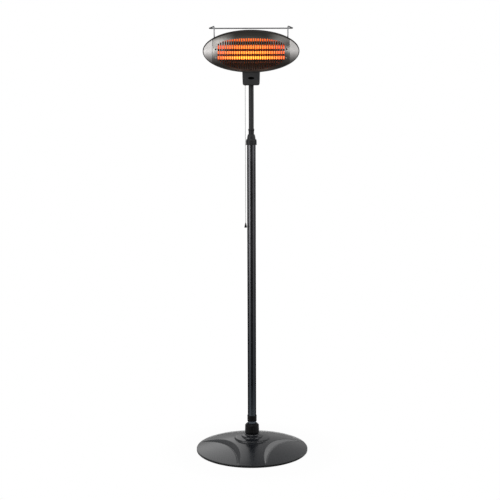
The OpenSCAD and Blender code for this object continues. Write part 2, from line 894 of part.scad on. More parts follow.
module box_rear()
    color(DARK_BOX)
        difference() {
            union() {
                difference() {
                    box_solid(0, box_split_y, box_back_y, 0.05);
                    box_solid(box_wall, box_split_y - 1, box_back_y - box_wall, -1);
                }
                post_rods(rear_post_r, box_split_y, box_back_y - 1);
            }
            post_rods(1.8, box_split_y - 1, box_back_y + 1);
            post_rods(rear_post_r - 0.9, box_back_y - 3, box_back_y + 1);
            pole_opening();
            translate([gland_x, box_back_y + 1, gland_z])
                rotate([90, 0, 0]) cylinder(r = 6, h = box_wall + 2);
        }

module box_screws()
    color(STEEL)
        post_places()
            translate([0, box_back_y - 3, 0])
                rotate([-90, 0, 0]) pan_screw(1.25, box_back_y - 3 - box_split_y + 10, 2.9, 2);

module cable_gland()
    color(BLACK)
        translate([gland_x, box_back_y, gland_z])
            rotate([-90, 0, 0])
                difference() {
                    union() {
                        translate([0, 0, -box_wall - 3]) cylinder(r = 5.9, h = box_wall + 4);
                        translate([0, 0, -box_wall - 3]) cylinder(r = 7.5, h = 2.9);
                        cylinder(r = 8.5, h = 3, $fn = 6);
                        translate([0, 0, 3]) cylinder(r1 = 7, r2 = 5.5, h = 8);
                    }
                    translate([0, 0, -10]) cylinder(r = 3.6, h = 30);
                }

// Saddle under the casing with two ears for the tilt bolt
module tilt_bracket()
    color(IRON)
        difference() {
            union() {
                translate([-ear_x - ear_t, -14, pivot_z + 18])
                    cube([2 * (ear_x + ear_t), 28, 40]);
                for (side = [-1, 1])
                    translate([side * (ear_x + ear_t / 2) - ear_t / 2, 0, 0]) {
                        translate([0, -knuckle_r, pivot_z]) cube([ear_t, 2 * knuckle_r, 20]);
                        translate([0, 0, pivot_z])
                            rotate([0, 90, 0]) cylinder(r = knuckle_r, h = ear_t);
                    }
            }
            at_head()
                translate([0, belly, 0]) spheroid(casing_len + 0.05, casing_r + 0.05);
            at_pivot()
                translate([0, 0, -30]) cylinder(r = pivot_d / 2 + 0.05, h = 60);
            bracket_bores(2.1);
        }

module bracket_bores(r)
    for (side = [-1, 1])
        translate([side * 7, 0, pivot_z + 10]) cylinder(r = r, h = 40);

bracket_head_z = head_z - casing_r + casing_wall + 4.2;

module bracket_screws()
    color(STEEL)
        for (side = [-1, 1])
            translate([side * 7, 0, bracket_head_z])
                pan_screw(2, bracket_head_z - pivot_z - 18.5, 4, 2.6);

module pull_switch()
    color("#e4e0d6")
        difference() {
            translate([cord_x - 7.5, -box_front_y + box_wall + part_gap, switch_foot_z])
                cube([12.6, switch_depth, switch_top_z - switch_foot_z]);
            translate([cord_x, cord_y, box_foot_z]) cylinder(r = rod_d / 2 + part_gap, h = 60);
            translate([cord_x, cord_y, stop_z - pull_travel - 1]) cylinder(r = 4, h = 60);
        }

// Rod that the cord pulls down, and the stop on top of it
module switch_actuator()
    color("#e4e0d6")
        translate([cord_x, cord_y, 0]) {
            translate([0, 0, ball_z]) sphere(r = ball_r);
            translate([0, 0, ball_z + 0.5]) cylinder(r1 = ball_r * 0.9, r2 = bead_r, h = 1.6);
            translate([0, 0, ball_z + 2.1]) cylinder(r = bead_r, h = 0.4);
            translate([0, 0, ball_z + 2]) cylinder(d = rod_d, h = stop_z - ball_z);
            translate([0, 0, stop_z]) cylinder(r = 3.6, h = 3);
        }

module cord_eyelet()
    color(BLACK)
        translate([cord_x, cord_y, box_foot_z])
            difference() {
                union() {
                    translate([0, 0, -1.2]) cylinder(r = eyelet_r + 1.5, h = 1.2);
                    translate([0, 0, -EPS]) cylinder(r = eyelet_r, h = box_wall + 1);
                }
                translate([0, 0, -2]) cylinder(r = rod_d / 2 + part_gap, h = 10);
            }

module pull_cord()
    color("#b8b8b8")
        swept_cord(resample(CORD_POINTS, CORD_STEP), cord_d / 2);

module cord_knob()
    color(BLACK)
        translate([cord_x, cord_y, CORD_FOOT - knob_h])
            rotate_extrude()
                polygon([
                    [0, 0], [knob_d / 2 - 0.8, 0], [knob_d / 2, 0.9], [knob_d / 2 - 0.1, 4],
                    [knob_d / 2 - 1.2, knob_h * 0.45], [knob_d / 2 - 2.7, knob_h * 0.75],
                    [2.3, knob_h - 1], [1.6, knob_h], [0, knob_h]
                ]);

module terminal_block()
    color("#e4e0d6")
        difference() {
            union() {
                translate([block_x, -24, box_foot_z + box_wall]) cube([block_w - 4.5, 30, 11]);
                translate([block_x, -24, box_foot_z + box_wall + 10.8]) cube([block_w, 30, 13]);
            }
            for (i = [0:2])
                translate([block_x + block_w / 2, -19 + i * 10, box_foot_z + box_wall + 17])
                    cylinder(r = 2.5, h = 20);
        }

// ---------------------------------------------------------------- head

module casing_form(inset, front, back)
    intersection() {
        translate([0, belly, 0]) spheroid(casing_len - inset, casing_r - inset);
        slab(front, back);
    }

module panel_form(inset, back = 0)
    intersection() {
        translate([0, panel_c, -panel_drop]) spheroid(panel_len - inset, panel_r - inset);
        slab(-FAR, back);
    }

// Room inside the head that the inner sheets fill up to its walls
module inner_room() {
    casing_form(casing_wall + 0.1, flange_sheet + 0.1, casing_depth - casing_wall - 0.1);
    panel_form(seat_w + 0.1, flange_sheet + 0.2);
}

module rear_casing()
    color(BLACK)
        at_head()
            difference() {
                casing_form(0, 0, casing_depth);
                casing_form(casing_wall, flange_sheet, casing_depth - casing_wall);
                intersection() {
                    panel_form(seat_w, flange_sheet + 1);
                    slab(-1, flange_sheet + 1);
                }
                for (side = [-1, 1])
                    translate([side * leg_x, leg_back, 0]) cylinder(r = guard_d / 2 + 0.2, h = FAR);
                // ventilation slots in the back
                for (row = [-1, 1])
                    for (i = [-5:5])
                        slot_cut(i * vent_pitch, row * vent_rise - vent_len / 2,
                                 row * vent_rise + vent_len / 2, vent_w,
                                 casing_depth - 5, casing_depth + 5);
                translate([24, rim_forward, -FAR]) cylinder(r = 6, h = FAR);
                for (side = [-1, 1])
                    translate([side * 7, rim_forward, -FAR]) cylinder(r = 2.2, h = FAR);
            }

// Slots of the stamped panel, shorter towards the ends
module slots()
    for (i = [0:slot_count - 1]) {
        x = (i - (slot_count - 1) / 2) * slot_pitch;
        slot_cut(x, slot_low(x), slot_top(x), slot_w, -bulge - 10, 3);
    }

module between_seams(half_w)
    translate([-half_w, -FAR, -FAR]) cube([2 * half_w, 2 * FAR, 2 * FAR]);

// Puts its children on the panel's face, with +Z pointing out of it
module on_panel(x, z) {
    n = unit([x / pow(panel_len, 2), (panel_y(x, z) - panel_c) / pow(panel_r, 2),
              (z + panel_drop) / pow(panel_r, 2)]);
    translate([x, panel_y(x, z), z])
        rotate([0, acos(n[2]), atan2(n[1], n[0])])
            children();
}

module panel_screw_places(x, z)
    for (side = [-1, 1])
        on_panel(side * x, z) children();

module front_panel()
    color("#6f6c69")
        at_head()
            difference() {
                intersection() {
                    difference() {
                        panel_form(0);
                        panel_form(panel_t, 1);
                    }
                    between_seams(seam_x - 0.1);
                }
                slots();
                panel_screw_places(upper_screw_x, upper_screw_z)
                    translate([0, 0, -5]) cylinder(r = 1.7, h = 10);
                panel_screw_places(lower_screw_x, lower_screw_z)
                    translate([0, 0, -5]) cylinder(r = 1.7, h = 10);
            }

module end_cap()
    color(SILVER)
        at_head()
            difference() {
                panel_form(-cap_proud);
                panel_form(cap_t, 1);
                between_seams(seam_x);
            }

module end_cap_left()
    intersection() {
        end_cap();
        translate([-2 * FAR, -FAR, head_z - FAR]) cube(2 * FAR);
    }

module end_cap_right()
    intersection() {
        end_cap();
        translate([0, -FAR, head_z - FAR]) cube(2 * FAR);
    }

module panel_screws_upper()
    color("#26231f")
        at_head()
            panel_screw_places(upper_screw_x, upper_screw_z)
                pan_screw(1.5, 8, screw_head_d / 2, 2);

module panel_screws_lower()
    color(SILVER)
        at_head()
            panel_screw_places(lower_screw_x, lower_screw_z)
                pan_screw(1.5, 8, screw_head_d / 2, 2);

// Bent sheet behind the tubes: a flat back, a slanting flank above and a shelf below
module reflector()
    color(STEEL)
        at_head()
            intersection() {
                rotate([90, 0, 90])
                    translate([0, 0, -bulkhead_x + 0.2])
                        linear_extrude(2 * bulkhead_x - 0.4)
                            polygon(mirror_profile());
                inner_room();
            }

function mirror_profile() =
    let (reach = (flank_end - mirror_top) * 0.78)
    [
        [mirror_back, mirror_top], [mirror_back - reach, flank_end],
        [mirror_back - reach + mirror_t, flank_end + mirror_t * 0.62],
        [mirror_back + mirror_t, mirror_top + mirror_t * 0.62],
        [mirror_back + mirror_t, mirror_foot - mirror_t],
        [mirror_back - shelf_reach, mirror_foot - shelf_drop - mirror_t],
        [mirror_back - shelf_reach, mirror_foot - shelf_drop], [mirror_back, mirror_foot]
    ];

// End plate that carries the tubes' ceramic caps and takes the panel's screws
module bulkhead(side)
    color(STEEL)
        at_head()
            difference() {
                union() {
                    intersection() {
                        translate([side > 0 ? bulkhead_x : -bulkhead_x - bulkhead_t, -FAR, -FAR])
                            cube([bulkhead_t, 2 * FAR, 2 * FAR]);
                        inner_room();
                    }
                    screw_boss(side * upper_screw_x, upper_screw_z);
                    screw_boss(side * lower_screw_x, lower_screw_z);
                }
                for (i = [0:tube_count - 1])
                    translate([-FAR, tube_back, tube_z(i)])
                        rotate([0, 90, 0]) cylinder(r = tube_d / 2 + 1.1, h = 2 * FAR);
                on_panel(side * upper_screw_x, upper_screw_z)
                    translate([0, 0, -10]) cylinder(r = 1.55, h = 12);
                on_panel(side * lower_screw_x, lower_screw_z)
                    translate([0, 0, -10]) cylinder(r = 1.55, h = 12);
            }

module screw_boss(x, z)
    on_panel(x, z)
        translate([0, 0, -panel_t - 0.1 - 7]) cylinder(r = 3, h = 7);

module bulkhead_left()
    bulkhead(-1);

module bulkhead_right()
    bulkhead(1);

// ---------------------------------------------------------------- heating

module along_tube(i)
    at_head()
        translate([0, tube_back, tube_z(i)])
            rotate([0, 90, 0])
                children();

module quartz_tube(i)
    color("#f2c9a0", 0.5)
        along_tube(i)
            translate([0, 0, -tube_half]) ring(tube_d / 2, tube_d / 2 - 1, 2 * tube_half);

module heating_coil(i)
    color("#ff8a1e")
        along_tube(i)
            translate([0, 0, -tube_half - 2]) cylinder(d = coil_d, h = 2 * tube_half + 4);

module quartz_tube_1()
    quartz_tube(0);

module quartz_tube_2()
    quartz_tube(1);

module quartz_tube_3()
    if (tube_count > 2) quartz_tube(2);

module heating_coil_1()
    heating_coil(0);

module heating_coil_2()
    heating_coil(1);

module heating_coil_3()
    if (tube_count > 2) heating_coil(2);

module ceramic_caps()
    color("#e9e4da")
        for (i = [0:tube_count - 1])
            for (side = [0, 180])
                along_tube(i)
                    rotate([side, 0, 0])
                        difference() {
                            union() {
                                translate([0, 0, bulkhead_x - 2])
                                    cylinder(r = tube_d / 2 + 1, h = 4);
                                translate([0, 0, bulkhead_x + bulkhead_t])
                                    cylinder(d = ceramic_d, h = ceramic_end - bulkhead_x - bulkhead_t);
                            }
                            translate([0, 0, bulkhead_x - 5])
                                cylinder(r = tube_d / 2 + 0.05, h = tube_half - bulkhead_x + 5);
                            translate([0, 0, tube_half - EPS])
                                cylinder(r = coil_d / 2 + 0.05, h = 2 + EPS);
                        }

// ---------------------------------------------------------------- guard

// Side and leg of the guard, from the end of the rear bar
module guard_arm()
    translate([0, 0, guard_z])
        bend(corner_turn, guard_d / 2, bend_r)
            straight(side_len, guard_d / 2)
                rotate([-90, 0, 0])
                    bend(90, guard_d / 2, bend_r)
                        straight(guard_z - bend_r - leg_foot_z, guard_d / 2);

module guard_wire() {
    half_bar = corner_x - corner_cut;
    color("#8a8a8a")
        translate([0, leg_y + loop_depth, 0]) {
            translate([-half_bar, 0, guard_z])
                straight(2 * half_bar, guard_d / 2);
            translate([-half_bar, 0, 0])
                rotate([0, 0, 180]) guard_arm();
            translate([half_bar, 0, 0])
                mirror([1, 0, 0])
                    rotate([0, 0, 180]) guard_arm();
        }
}

module guard_nuts()
    color(STEEL)
        for (side = [-1, 1])
            translate([side * leg_x, leg_y, leg_foot_z + 2.4])
                difference() {
                    cylinder(r = guard_d * 0.95, h = 4.5, $fn = 6);
                    translate([0, 0, -1]) cylinder(r = guard_d / 2 + 0.02, h = 8);
                }

base_cover();
base_tray();
base_weight();
base_feet();
cover_screws();
base_socket();
socket_screws();
base_collet();
base_nut();
pole_ferrule();
lower_pole_bottom();
lower_pole_middle();
lower_pole_top();
collar_body();
lock_ring();
grip_collet();
upper_pole();
guide_bush();
bush_clip();
pole_foot();
pole_head();
box_front();
box_rear();
box_screws();
oval_plug();
tilt_bracket();
bracket_screws();
pivot_bolt();
pivot_nut();
friction_washers();
pull_switch();
switch_actuator();
cord_eyelet();
pull_cord();
cord_knob();
terminal_block();
cable_gland();
rear_casing();
front_panel();
end_cap_left();
end_cap_right();
panel_screws_upper();
panel_screws_lower();
reflector();
bulkhead_left();
bulkhead_right();
quartz_tube_1();
quartz_tube_2();
quartz_tube_3();
heating_coil_1();
heating_coil_2();
heating_coil_3();
ceramic_caps();
guard_wire();
guard_nuts();
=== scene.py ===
"""Looks of a free-standing electric patio heater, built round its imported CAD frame.

The heater faces -Y and stands on z = 0. Sizes are in metres unless a name ends in _mm.
"""

from __future__ import annotations

import json
import logging
import math
from dataclasses import dataclass, field
from enum import Enum
from functools import lru_cache
from typing import Sequence

import bpy
import numpy as np
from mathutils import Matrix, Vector

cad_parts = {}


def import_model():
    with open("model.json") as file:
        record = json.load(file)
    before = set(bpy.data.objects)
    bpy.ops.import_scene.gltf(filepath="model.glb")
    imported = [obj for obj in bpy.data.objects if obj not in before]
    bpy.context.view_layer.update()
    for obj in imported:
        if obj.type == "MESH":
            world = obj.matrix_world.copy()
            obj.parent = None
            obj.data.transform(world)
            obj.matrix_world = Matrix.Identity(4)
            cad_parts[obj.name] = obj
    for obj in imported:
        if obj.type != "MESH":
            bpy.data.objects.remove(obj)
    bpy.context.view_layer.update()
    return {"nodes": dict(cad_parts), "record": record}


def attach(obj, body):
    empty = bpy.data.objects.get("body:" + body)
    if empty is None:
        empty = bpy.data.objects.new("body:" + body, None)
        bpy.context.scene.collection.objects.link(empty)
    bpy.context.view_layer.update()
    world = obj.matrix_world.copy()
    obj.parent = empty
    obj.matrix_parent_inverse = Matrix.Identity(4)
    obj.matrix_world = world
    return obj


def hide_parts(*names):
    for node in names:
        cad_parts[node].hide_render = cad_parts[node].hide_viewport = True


LOG = logging.getLogger("patio_heater")
MM = 0.001
# The part of a noise pattern's range that its two tones are spread over
PATTERN = (0.35, 0.65)
WHITE = (1.0, 1.0, 1.0, 1.0)

Tree = bpy.types.NodeTree
Socket = bpy.types.NodeSocket
Piece = bpy.types.Object
Point = tuple[float, float, float]
Span = tuple[float, float]
Inputs = dict[str | int, object]


# ------------------------------------------------------------------ meshes


def place_object(name: str, data: bpy.types.ID) -> Piece:
    """Put a mesh, curve, lamp or camera into the scene, at the origin."""
    piece = bpy.data.objects.new(name, data)
    bpy.context.scene.collection.objects.link(piece)
    return piece


def mesh_object(
    name: str,
    points: Sequence[Sequence[float]],
    faces: Sequence[Sequence[int]],
    sharp_deg: float = 35.0,
) -> Piece:
    """Make a smooth-shaded object from points and faces.

    Args:
        name: The object's name.
        points: Places in metres.
        faces: Corner numbers of each face.
        sharp_deg: Edges that turn by more than this stay sharp.

    Returns:
        The object, at the origin.
    """
    mesh = bpy.data.meshes.new(name)
    mesh.from_pydata([tuple(map(float, p)) for p in points], [], [tuple(map(int, f)) for f in faces])
    mesh.validate()
    mesh.shade_smooth()
    mesh.set_sharp_from_angle(angle=math.radians(sharp_deg))
    return place_object(name, mesh)


def add_face(faces: list[list[int]], corners: list[int]) -> None:
    """Add a face without its repeated corners, if three of them are left.

    Args:
        faces: The faces so far.
        corners: Corner numbers of the new face.
    """
    kept = [c for i, c in enumerate(corners) if c != corners[i - 1]]
    if len(kept) > 2:
        faces.append(kept)


def apply_modifiers(piece: Piece) -> None:
    """Bake a piece's modifiers into its mesh.

    Args:
        piece: The object whose modifiers end up in its mesh.
    """
    bpy.context.view_layer.update()
    evaluated = piece.evaluated_get(bpy.context.evaluated_depsgraph_get())
    baked = bpy.data.meshes.new_from_object(evaluated)
    piece.modifiers.clear()
    old = piece.data
    piece.data = baked
    baked.name = piece.name
    bpy.data.meshes.remove(old)


def thicken(piece: Piece, sheet_mm: float, sharp_deg: float, inner_slot: int = 0) -> None:
    """Give a skin the thickness of its sheet, inwards.

    Args:
        piece: The skin.
        sheet_mm: Thickness of the sheet.
        sharp_deg: Edges that turn by more than this stay sharp.
        inner_slot: How many material slots further on the inner side's finish is.
    """
    wall = piece.modifiers.new("wall", "SOLIDIFY")
    wall.thickness = sheet_mm * MM
    wall.offset = -1.0
    wall.material_offset = inner_slot
    apply_modifiers(piece)
    piece.data.set_sharp_from_angle(angle=math.radians(sharp_deg))


def lathe(
    name: str,
    profile: Sequence[Span],
    centre: Span = (0.0, 0.0),
    segments: int = 96,
    sharp_deg: float = 35.0,
) -> Piece:
    """Turn a profile round a vertical line.

    Args:
        name: The object's name.
        profile: Radius and height of each corner, in metres, upwards on the outside.
        centre: X and Y of the line.
        segments: Steps round the circle.
        sharp_deg: Edges that turn by more than this stay sharp.

    Returns:
        A closed solid of revolution.
    """
    on_axis = 1e-7
    points: list[Point] = []
    rings: list[list[int]] = []
    for radius, height in profile:
        if radius < on_axis:
            rings.append([len(points)] * segments)
            points.append((centre[0], centre[1], height))
            continue
        rings.append([len(points) + k for k in range(segments)])
        for k in range(segments):
            angle = 2 * math.pi * k / segments
            points.append(
                (centre[0] + radius * math.cos(angle), centre[1] + radius * math.sin(angle), height)
            )
    faces: list[list[int]] = []
    for lower, upper in zip(rings, rings[1:]):
        for k in range(segments):
            m = (k + 1) % segments
            add_face(faces, [lower[k], lower[m], upper[m], upper[k]])
    return mesh_object(name, points, faces, sharp_deg)


# ------------------------------------------------------------------ nodes


def hex_linear(code: str) -> tuple[float, float, float, float]:
    """Turn an sRGB hex value such as #8c8e90 into a linear colour."""
    channels = []
    for start in (1, 3, 5):
        value = int(code[start : start + 2], 16) / 255
        channels.append(value / 12.92 if value <= 0.04045 else ((value + 0.055) / 1.055) ** 2.4)
    return channels[0], channels[1], channels[2], 1.0


def empty_tree(block: bpy.types.Material | bpy.types.World) -> Tree:
    """Let a material or a world use nodes, with none in it yet."""
    block.use_nodes = True
    block.node_tree.nodes.clear()
    return block.node_tree


def fill_inputs(tree: Tree, node: bpy.types.Node, inputs: Inputs) -> None:
    """Set a node's inputs, or link them.

    Args:
        tree: The node tree.
        node: The node.
        inputs: Values or output sockets for the node's inputs, by name or number.
    """
    for key, value in inputs.items():
        if isinstance(value, Socket):
            tree.links.new(value, node.inputs[key])
        else:
            node.inputs[key].default_value = value


def add_node(
    tree: Tree, kind: str, inputs: Inputs | None = None, **settings: object
) -> bpy.types.Node:
    """Add one node with its settings, socket values and links.

    Args:
        tree: The node tree.
        kind: The node's type name.
        inputs: Values or output sockets for the node's inputs, by name or number.
        **settings: Properties of the node itself.

    Returns:
        The new node.
    """
    node = tree.nodes.new(kind)
    for name, value in settings.items():
        setattr(node, name, value)
    fill_inputs(tree, node, inputs or {})
    return node


def calculate(
    tree: Tree, operation: str, *values: Socket | float
) -> Socket:
    """Work out one number from others."""
    return add_node(tree, "ShaderNodeMath", dict(enumerate(values)), operation=operation).outputs[0]


def ease(
    tree: Tree, value: Socket, target: Span, source: Span = PATTERN
) -> Socket:
    """Spread a value softly over a range.

    Args:
        tree: The node tree.
        value: The value.
        target: What its low and its high end become.
        source: Its own low and high end.

    Returns:
        The socket of the new value.
    """
    ends = {"From Min": source[0], "From Max": source[1], "To Min": target[0], "To Max": target[1]}
    spread = add_node(
        tree, "ShaderNodeMapRange", {"Value": value, **ends}, interpolation_type="SMOOTHSTEP"
    )
    return spread.outputs["Result"]


def two_tone(
    tree: Tree,
    value: Socket,
    first: str,
    second: str,
    source: Span = PATTERN,
) -> Socket:
    """Colour a value with two colours.

    Args:
        tree: The node tree.
        value: The value.
        first: Hex colour at its low end.
        second: Hex colour at its high end.
        source: Its low and high end.

    Returns:
        The socket of the colour.
    """
    ramp = add_node(tree, "ShaderNodeValToRGB", {"Fac": value})
    low, high = ramp.color_ramp.elements
    low.position, high.position = source
    low.color, high.color = hex_linear(first), hex_linear(second)
    return ramp.outputs["Color"]


def mix_colours(
    tree: Tree, factor: Socket, first: object, second: object
) -> Socket:
    """Mix two colours, each a socket or linear values."""
    inputs = {"Factor": factor, 6: first, 7: second}
    return add_node(tree, "ShaderNodeMix", inputs, data_type="RGBA").outputs[2]


def object_place(tree: Tree, stretch: Point = (1.0, 1.0, 1.0)) -> Socket:
    """Give the place on the object in metres, times a stretch along each axis."""
    coords = add_node(tree, "ShaderNodeTexCoord")
    inputs = {"Vector": coords.outputs["Object"], "Scale": stretch}
    return add_node(tree, "ShaderNodeMapping", inputs).outputs["Vector"]


def axis(tree: Tree, place: Socket, name: str) -> Socket:
    """Give one coordinate of a place."""
    return add_node(tree, "ShaderNodeSeparateXYZ", {"Vector": place}).outputs[name]


def from_middle(tree: Tree, place: Socket) -> Socket:
    """Give the distance from the heater's middle plane."""
    return calculate(tree, "ABSOLUTE", axis(tree, place, "X"))


def noise(
    tree: Tree,
    place: Socket,
    scale: float,
    detail: float,
    roughness: float = 0.5,
) -> Socket:
    """Add a noise pattern.

    Args:
        tree: The node tree.
        place: Where on the object it is read.
        scale: Bumps in a metre.
        detail: Layers of finer noise.
        roughness: How strong each finer layer is.

    Returns:
        The socket of the pattern.
    """
    inputs = {"Vector": place, "Scale": scale, "Detail": detail, "Roughness": roughness}
    return add_node(tree, "ShaderNodeTexNoise", inputs).outputs["Fac"]


def relief(
    tree: Tree, height: Socket, strength: float, depth_mm: float
) -> Socket:
    """Tilt the surface by a pattern's height.

    Args:
        tree: The node tree.
        height: The pattern.
        strength: Share of the tilt that shows.
        depth_mm: The pattern's depth.

    Returns:
        The socket of the normal.
    """
    inputs = {"Strength": strength, "Distance": depth_mm * MM, "Height": height}
    return add_node(tree, "ShaderNodeBump", inputs).outputs["Normal"]


# ------------------------------------------------------------------ finishes


@dataclass(frozen=True)
class Finish:
    """What a surface is made of. Each kind of finish fills in its own shader."""

    name: str

    def inputs(self, tree: Tree) -> Inputs:
        """Work out the shader's inputs.

        Args:
            tree: The material's node tree.

        Returns:
            Values or sockets by the name of the shader's input.
        """
        raise NotImplementedError


@lru_cache(maxsize=None)
def material_of(finish: Finish) -> bpy.types.Material:
    """Build a finish's material, once."""
    material = bpy.data.materials.new(finish.name)
    material.cycles.emission_sampling = "NONE"
    tree = empty_tree(material)
    shader = add_node(tree, "ShaderNodeBsdfPrincipled")
    add_node(tree, "ShaderNodeOutputMaterial", {"Surface": shader.outputs["BSDF"]})
    fill_inputs(tree, shader, finish.inputs(tree))
    return material


@dataclass(frozen=True)
class MouldedPlastic(Finish):
    """Injection-moulded plastic: an even colour under a fine moulded grain."""

    colour: str
    worn: str
    rough_low: float = 0.4
    rough_high: float = 0.55
    grain_mm: float = 1.6
    grain_depth: float = 0.12
    specular: float = 0.5

    def inputs(self, tree: Tree) -> Inputs:
        """Cloud the colour and the sheen a little and add the mould's grain."""
        place = object_place(tree)
        cloud = noise(tree, place, 14.0, 4.0)
        grain = noise(tree, place, 1 / (self.grain_mm * MM), 2.0, 0.6)
        return {
            "Base Color": two_tone(tree, cloud, self.colour, self.worn),
            "Roughness": ease(tree, cloud, (self.rough_low, self.rough_high)),
            "Normal": relief(tree, grain, self.grain_depth, 0.4),
            "Specular IOR Level": self.specular,
        }


@dataclass(frozen=True)
class BakedEnamel(Finish):
    """Stoved paint on steel: a hard skin with a slight orange peel."""

    colour: str
    lighter: str
    roughness: float
    peel_mm: float = 7.0
    peel_depth: float = 0.05
    metallic: float = 0.0
    edge: str = "#ffffff"
    specular: float = 0.5
    coat: float = 0.0
    coat_rough: float = 0.28
    foot: str = ""
    foot_z: float = 0.1
    top_z: float = 1.0

    def inputs(self, tree: Tree) -> Inputs:
        """Paint the skin, its orange peel and, where a foot tone is given, painted shade that darkens
        the tone towards the foot.
        """
        place = object_place(tree)
        cloud = noise(tree, place, 9.0, 3.0)
        colour = two_tone(tree, cloud, self.colour, self.lighter)
        # painted shade: the tone darkens towards the foot tone lower down
        if self.foot:
            height = ease(tree, axis(tree, place, "Z"), (0.0, 1.0), (self.foot_z, self.top_z))
            colour = mix_colours(tree, height, hex_linear(self.foot), colour)
        peel = noise(tree, place, 1 / (self.peel_mm * MM), 1.0)
        return {
            "Base Color": colour,
            "Roughness": ease(tree, cloud, (self.roughness * 0.85, self.roughness * 1.15)),
            "Normal": relief(tree, peel, self.peel_depth, 0.5),
            "Metallic": self.metallic,
            "Specular Tint": hex_linear(self.edge),
            "Specular IOR Level": self.specular,
            "Coat Weight": self.coat,
            "Coat Roughness": self.coat_rough,
        }


@dataclass(frozen=True)
class PlainMetal(Finish):
    """Bare or plated metal with the marks of its making."""

    colour: str
    darker: str
    rough_low: float = 0.25
    rough_high: float = 0.4
    grain_mm: float = 3.0
    stretch: Point = (1.0, 1.0, 1.0)
    depth: float = 0.08

    def inputs(self, tree: Tree) -> Inputs:
        """Vary the tone and the sheen along the grain."""
        grain = noise(tree, object_place(tree, self.stretch), 1 / (self.grain_mm * MM), 5.0, 0.6)
        return {
            "Base Color": two_tone(tree, grain, self.darker, self.colour),
            "Roughness": ease(tree, grain, (self.rough_low, self.rough_high)),
            "Normal": relief(tree, grain, self.depth, 0.3),
            "Metallic": 1.0,
        }


@dataclass(frozen=True)
class SteelWithPaintedShade(Finish):
    """Brushed steel with painted shade and reflection in its tone: pale at the ends, darker lower down
    there, near-black high in the middle and warm brown low in the middle.
    """

    side_top: str = "#b2afab"
    side_low: str = "#6c6864"
    middle_top: str = "#45433f"
    middle_low: str = "#6a5a52"
    middle_z: Span = (1.7195, 1.8195)
    side_z: Span = (1.7245, 1.7745)
    fade: Span = (0.06, 0.155)
    brush_mm: float = 1.2

    def inputs(self, tree: Tree) -> Inputs:
        """Paint shade and reflection as a tone that fades from the ends to the middle and changes with
        the height, and brush it along the width.
        """
        place = object_place(tree)
        height = axis(tree, place, "Z")
        # painted shade and reflection: one tone for the middle and one for the ends, each changing with
        # the height
        middle, side = (
            mix_colours(tree, ease(tree, height, (0.0, 1.0), ends), hex_linear(low), hex_linear(top))
            for ends, low, top in (
                (self.middle_z, self.middle_low, self.middle_top),
                (self.side_z, self.side_low, self.side_top),
            )
        )
        outwards = ease(tree, from_middle(tree, place), (0.0, 1.0), self.fade)
        tone = mix_colours(tree, outwards, middle, side)
        grain = noise(tree, object_place(tree, (0.06, 1.0, 1.0)), 1 / (self.brush_mm * MM), 4.0, 0.7)
        colour = add_node(
            tree,
            "ShaderNodeVectorMath",
            {0: tone, "Scale": ease(tree, grain, (0.92, 1.06))},
            operation="SCALE",
        )
        return {
            "Base Color": colour.outputs[0],
            "Roughness": ease(tree, grain, (0.28, 0.38)),
            "Normal": relief(tree, grain, 0.03, 0.3),
            "Metallic": 1.0,
        }


@dataclass(frozen=True)
class SilverPaint(Finish):
    """Metallic silver paint with fine aluminium flake, and painted shade that darkens it lower down."""

    colour: str = "#dedbd9"
    darker: str = "#d4d1cf"
    smoke: str = "#6e6b69"
    smoke_z: Span = (1.7195, 1.7745)
    flake_mm: float = 1.0
    metallic: float = 0.45
    rough: float = 0.5

    def inputs(self, tree: Tree) -> Inputs:
        """Scatter the flake, cloud the sheen and paint shade on the lower part."""
        place = object_place(tree)
        flake = add_node(
            tree, "ShaderNodeTexVoronoi", {"Vector": place, "Scale": 1 / (self.flake_mm * MM)}
        ).outputs["Distance"]
        # painted shade: the silver gives way to a dark grey towards the caps' lower edge
        cover = ease(tree, axis(tree, place, "Z"), (0.0, 1.0), self.smoke_z)
        silver = two_tone(tree, flake, self.colour, self.darker, (0.0, 1.0))
        cloud = noise(tree, place, 22.0, 3.0)
        return {
            "Base Color": mix_colours(tree, cover, hex_linear(self.smoke), silver),
            "Roughness": ease(tree, cloud, (self.rough * 0.9, self.rough * 1.15)),
            "Normal": relief(tree, flake, 0.01, 0.2),
            "Metallic": self.metallic,
        }


@dataclass(frozen=True)
class GlowingWire(Finish):
    """Resistance wire at orange heat, hottest in the middle of its length."""

    hot: str
    cooler: str
    strength: float
    half_length: float = 0.13

    def inputs(self, tree: Tree) -> Inputs:
        """Fade the glow's colour from the middle to the ends."""
        ends = (self.half_length * 0.3, self.half_length)
        side = from_middle(tree, object_place(tree))
        return {
            "Base Color": hex_linear("#5a3a2c"),
            "Roughness": 0.6,
            "Emission Color": two_tone(tree, side, self.hot, self.cooler, ends),
            "Emission Strength": self.strength,
        }


@dataclass(frozen=True)
class MilkyQuartz(Finish):
    """Drawn milky quartz glass with a painted glow in its wall, standing in for the wire's light inside
    it.
    """

    glow: str
    ends: str
    strength: float
    half_length: float = 0.13
    alpha: float = 0.4

    def inputs(self, tree: Tree) -> Inputs:
        """Paint a soft glow on the wall, streaked along the tube as drawn quartz is."""
        fade = (self.half_length * 0.35, self.half_length * 1.02)
        side = from_middle(tree, object_place(tree))
        streak = noise(tree, object_place(tree, (0.05, 1.0, 1.0)), 1 / (2.5 * MM), 2.0)
        return {
            "Base Color": hex_linear("#d8b48c"),
            "Roughness": 0.12,
            "IOR": 1.46,
            "Alpha": ease(tree, streak, (self.alpha * 0.8, self.alpha * 1.2)),
            # painted glow: the wall gives off the wire's light itself
            "Emission Color": two_tone(tree, side, self.glow, self.ends, fade),
            "Emission Strength": self.strength,
        }


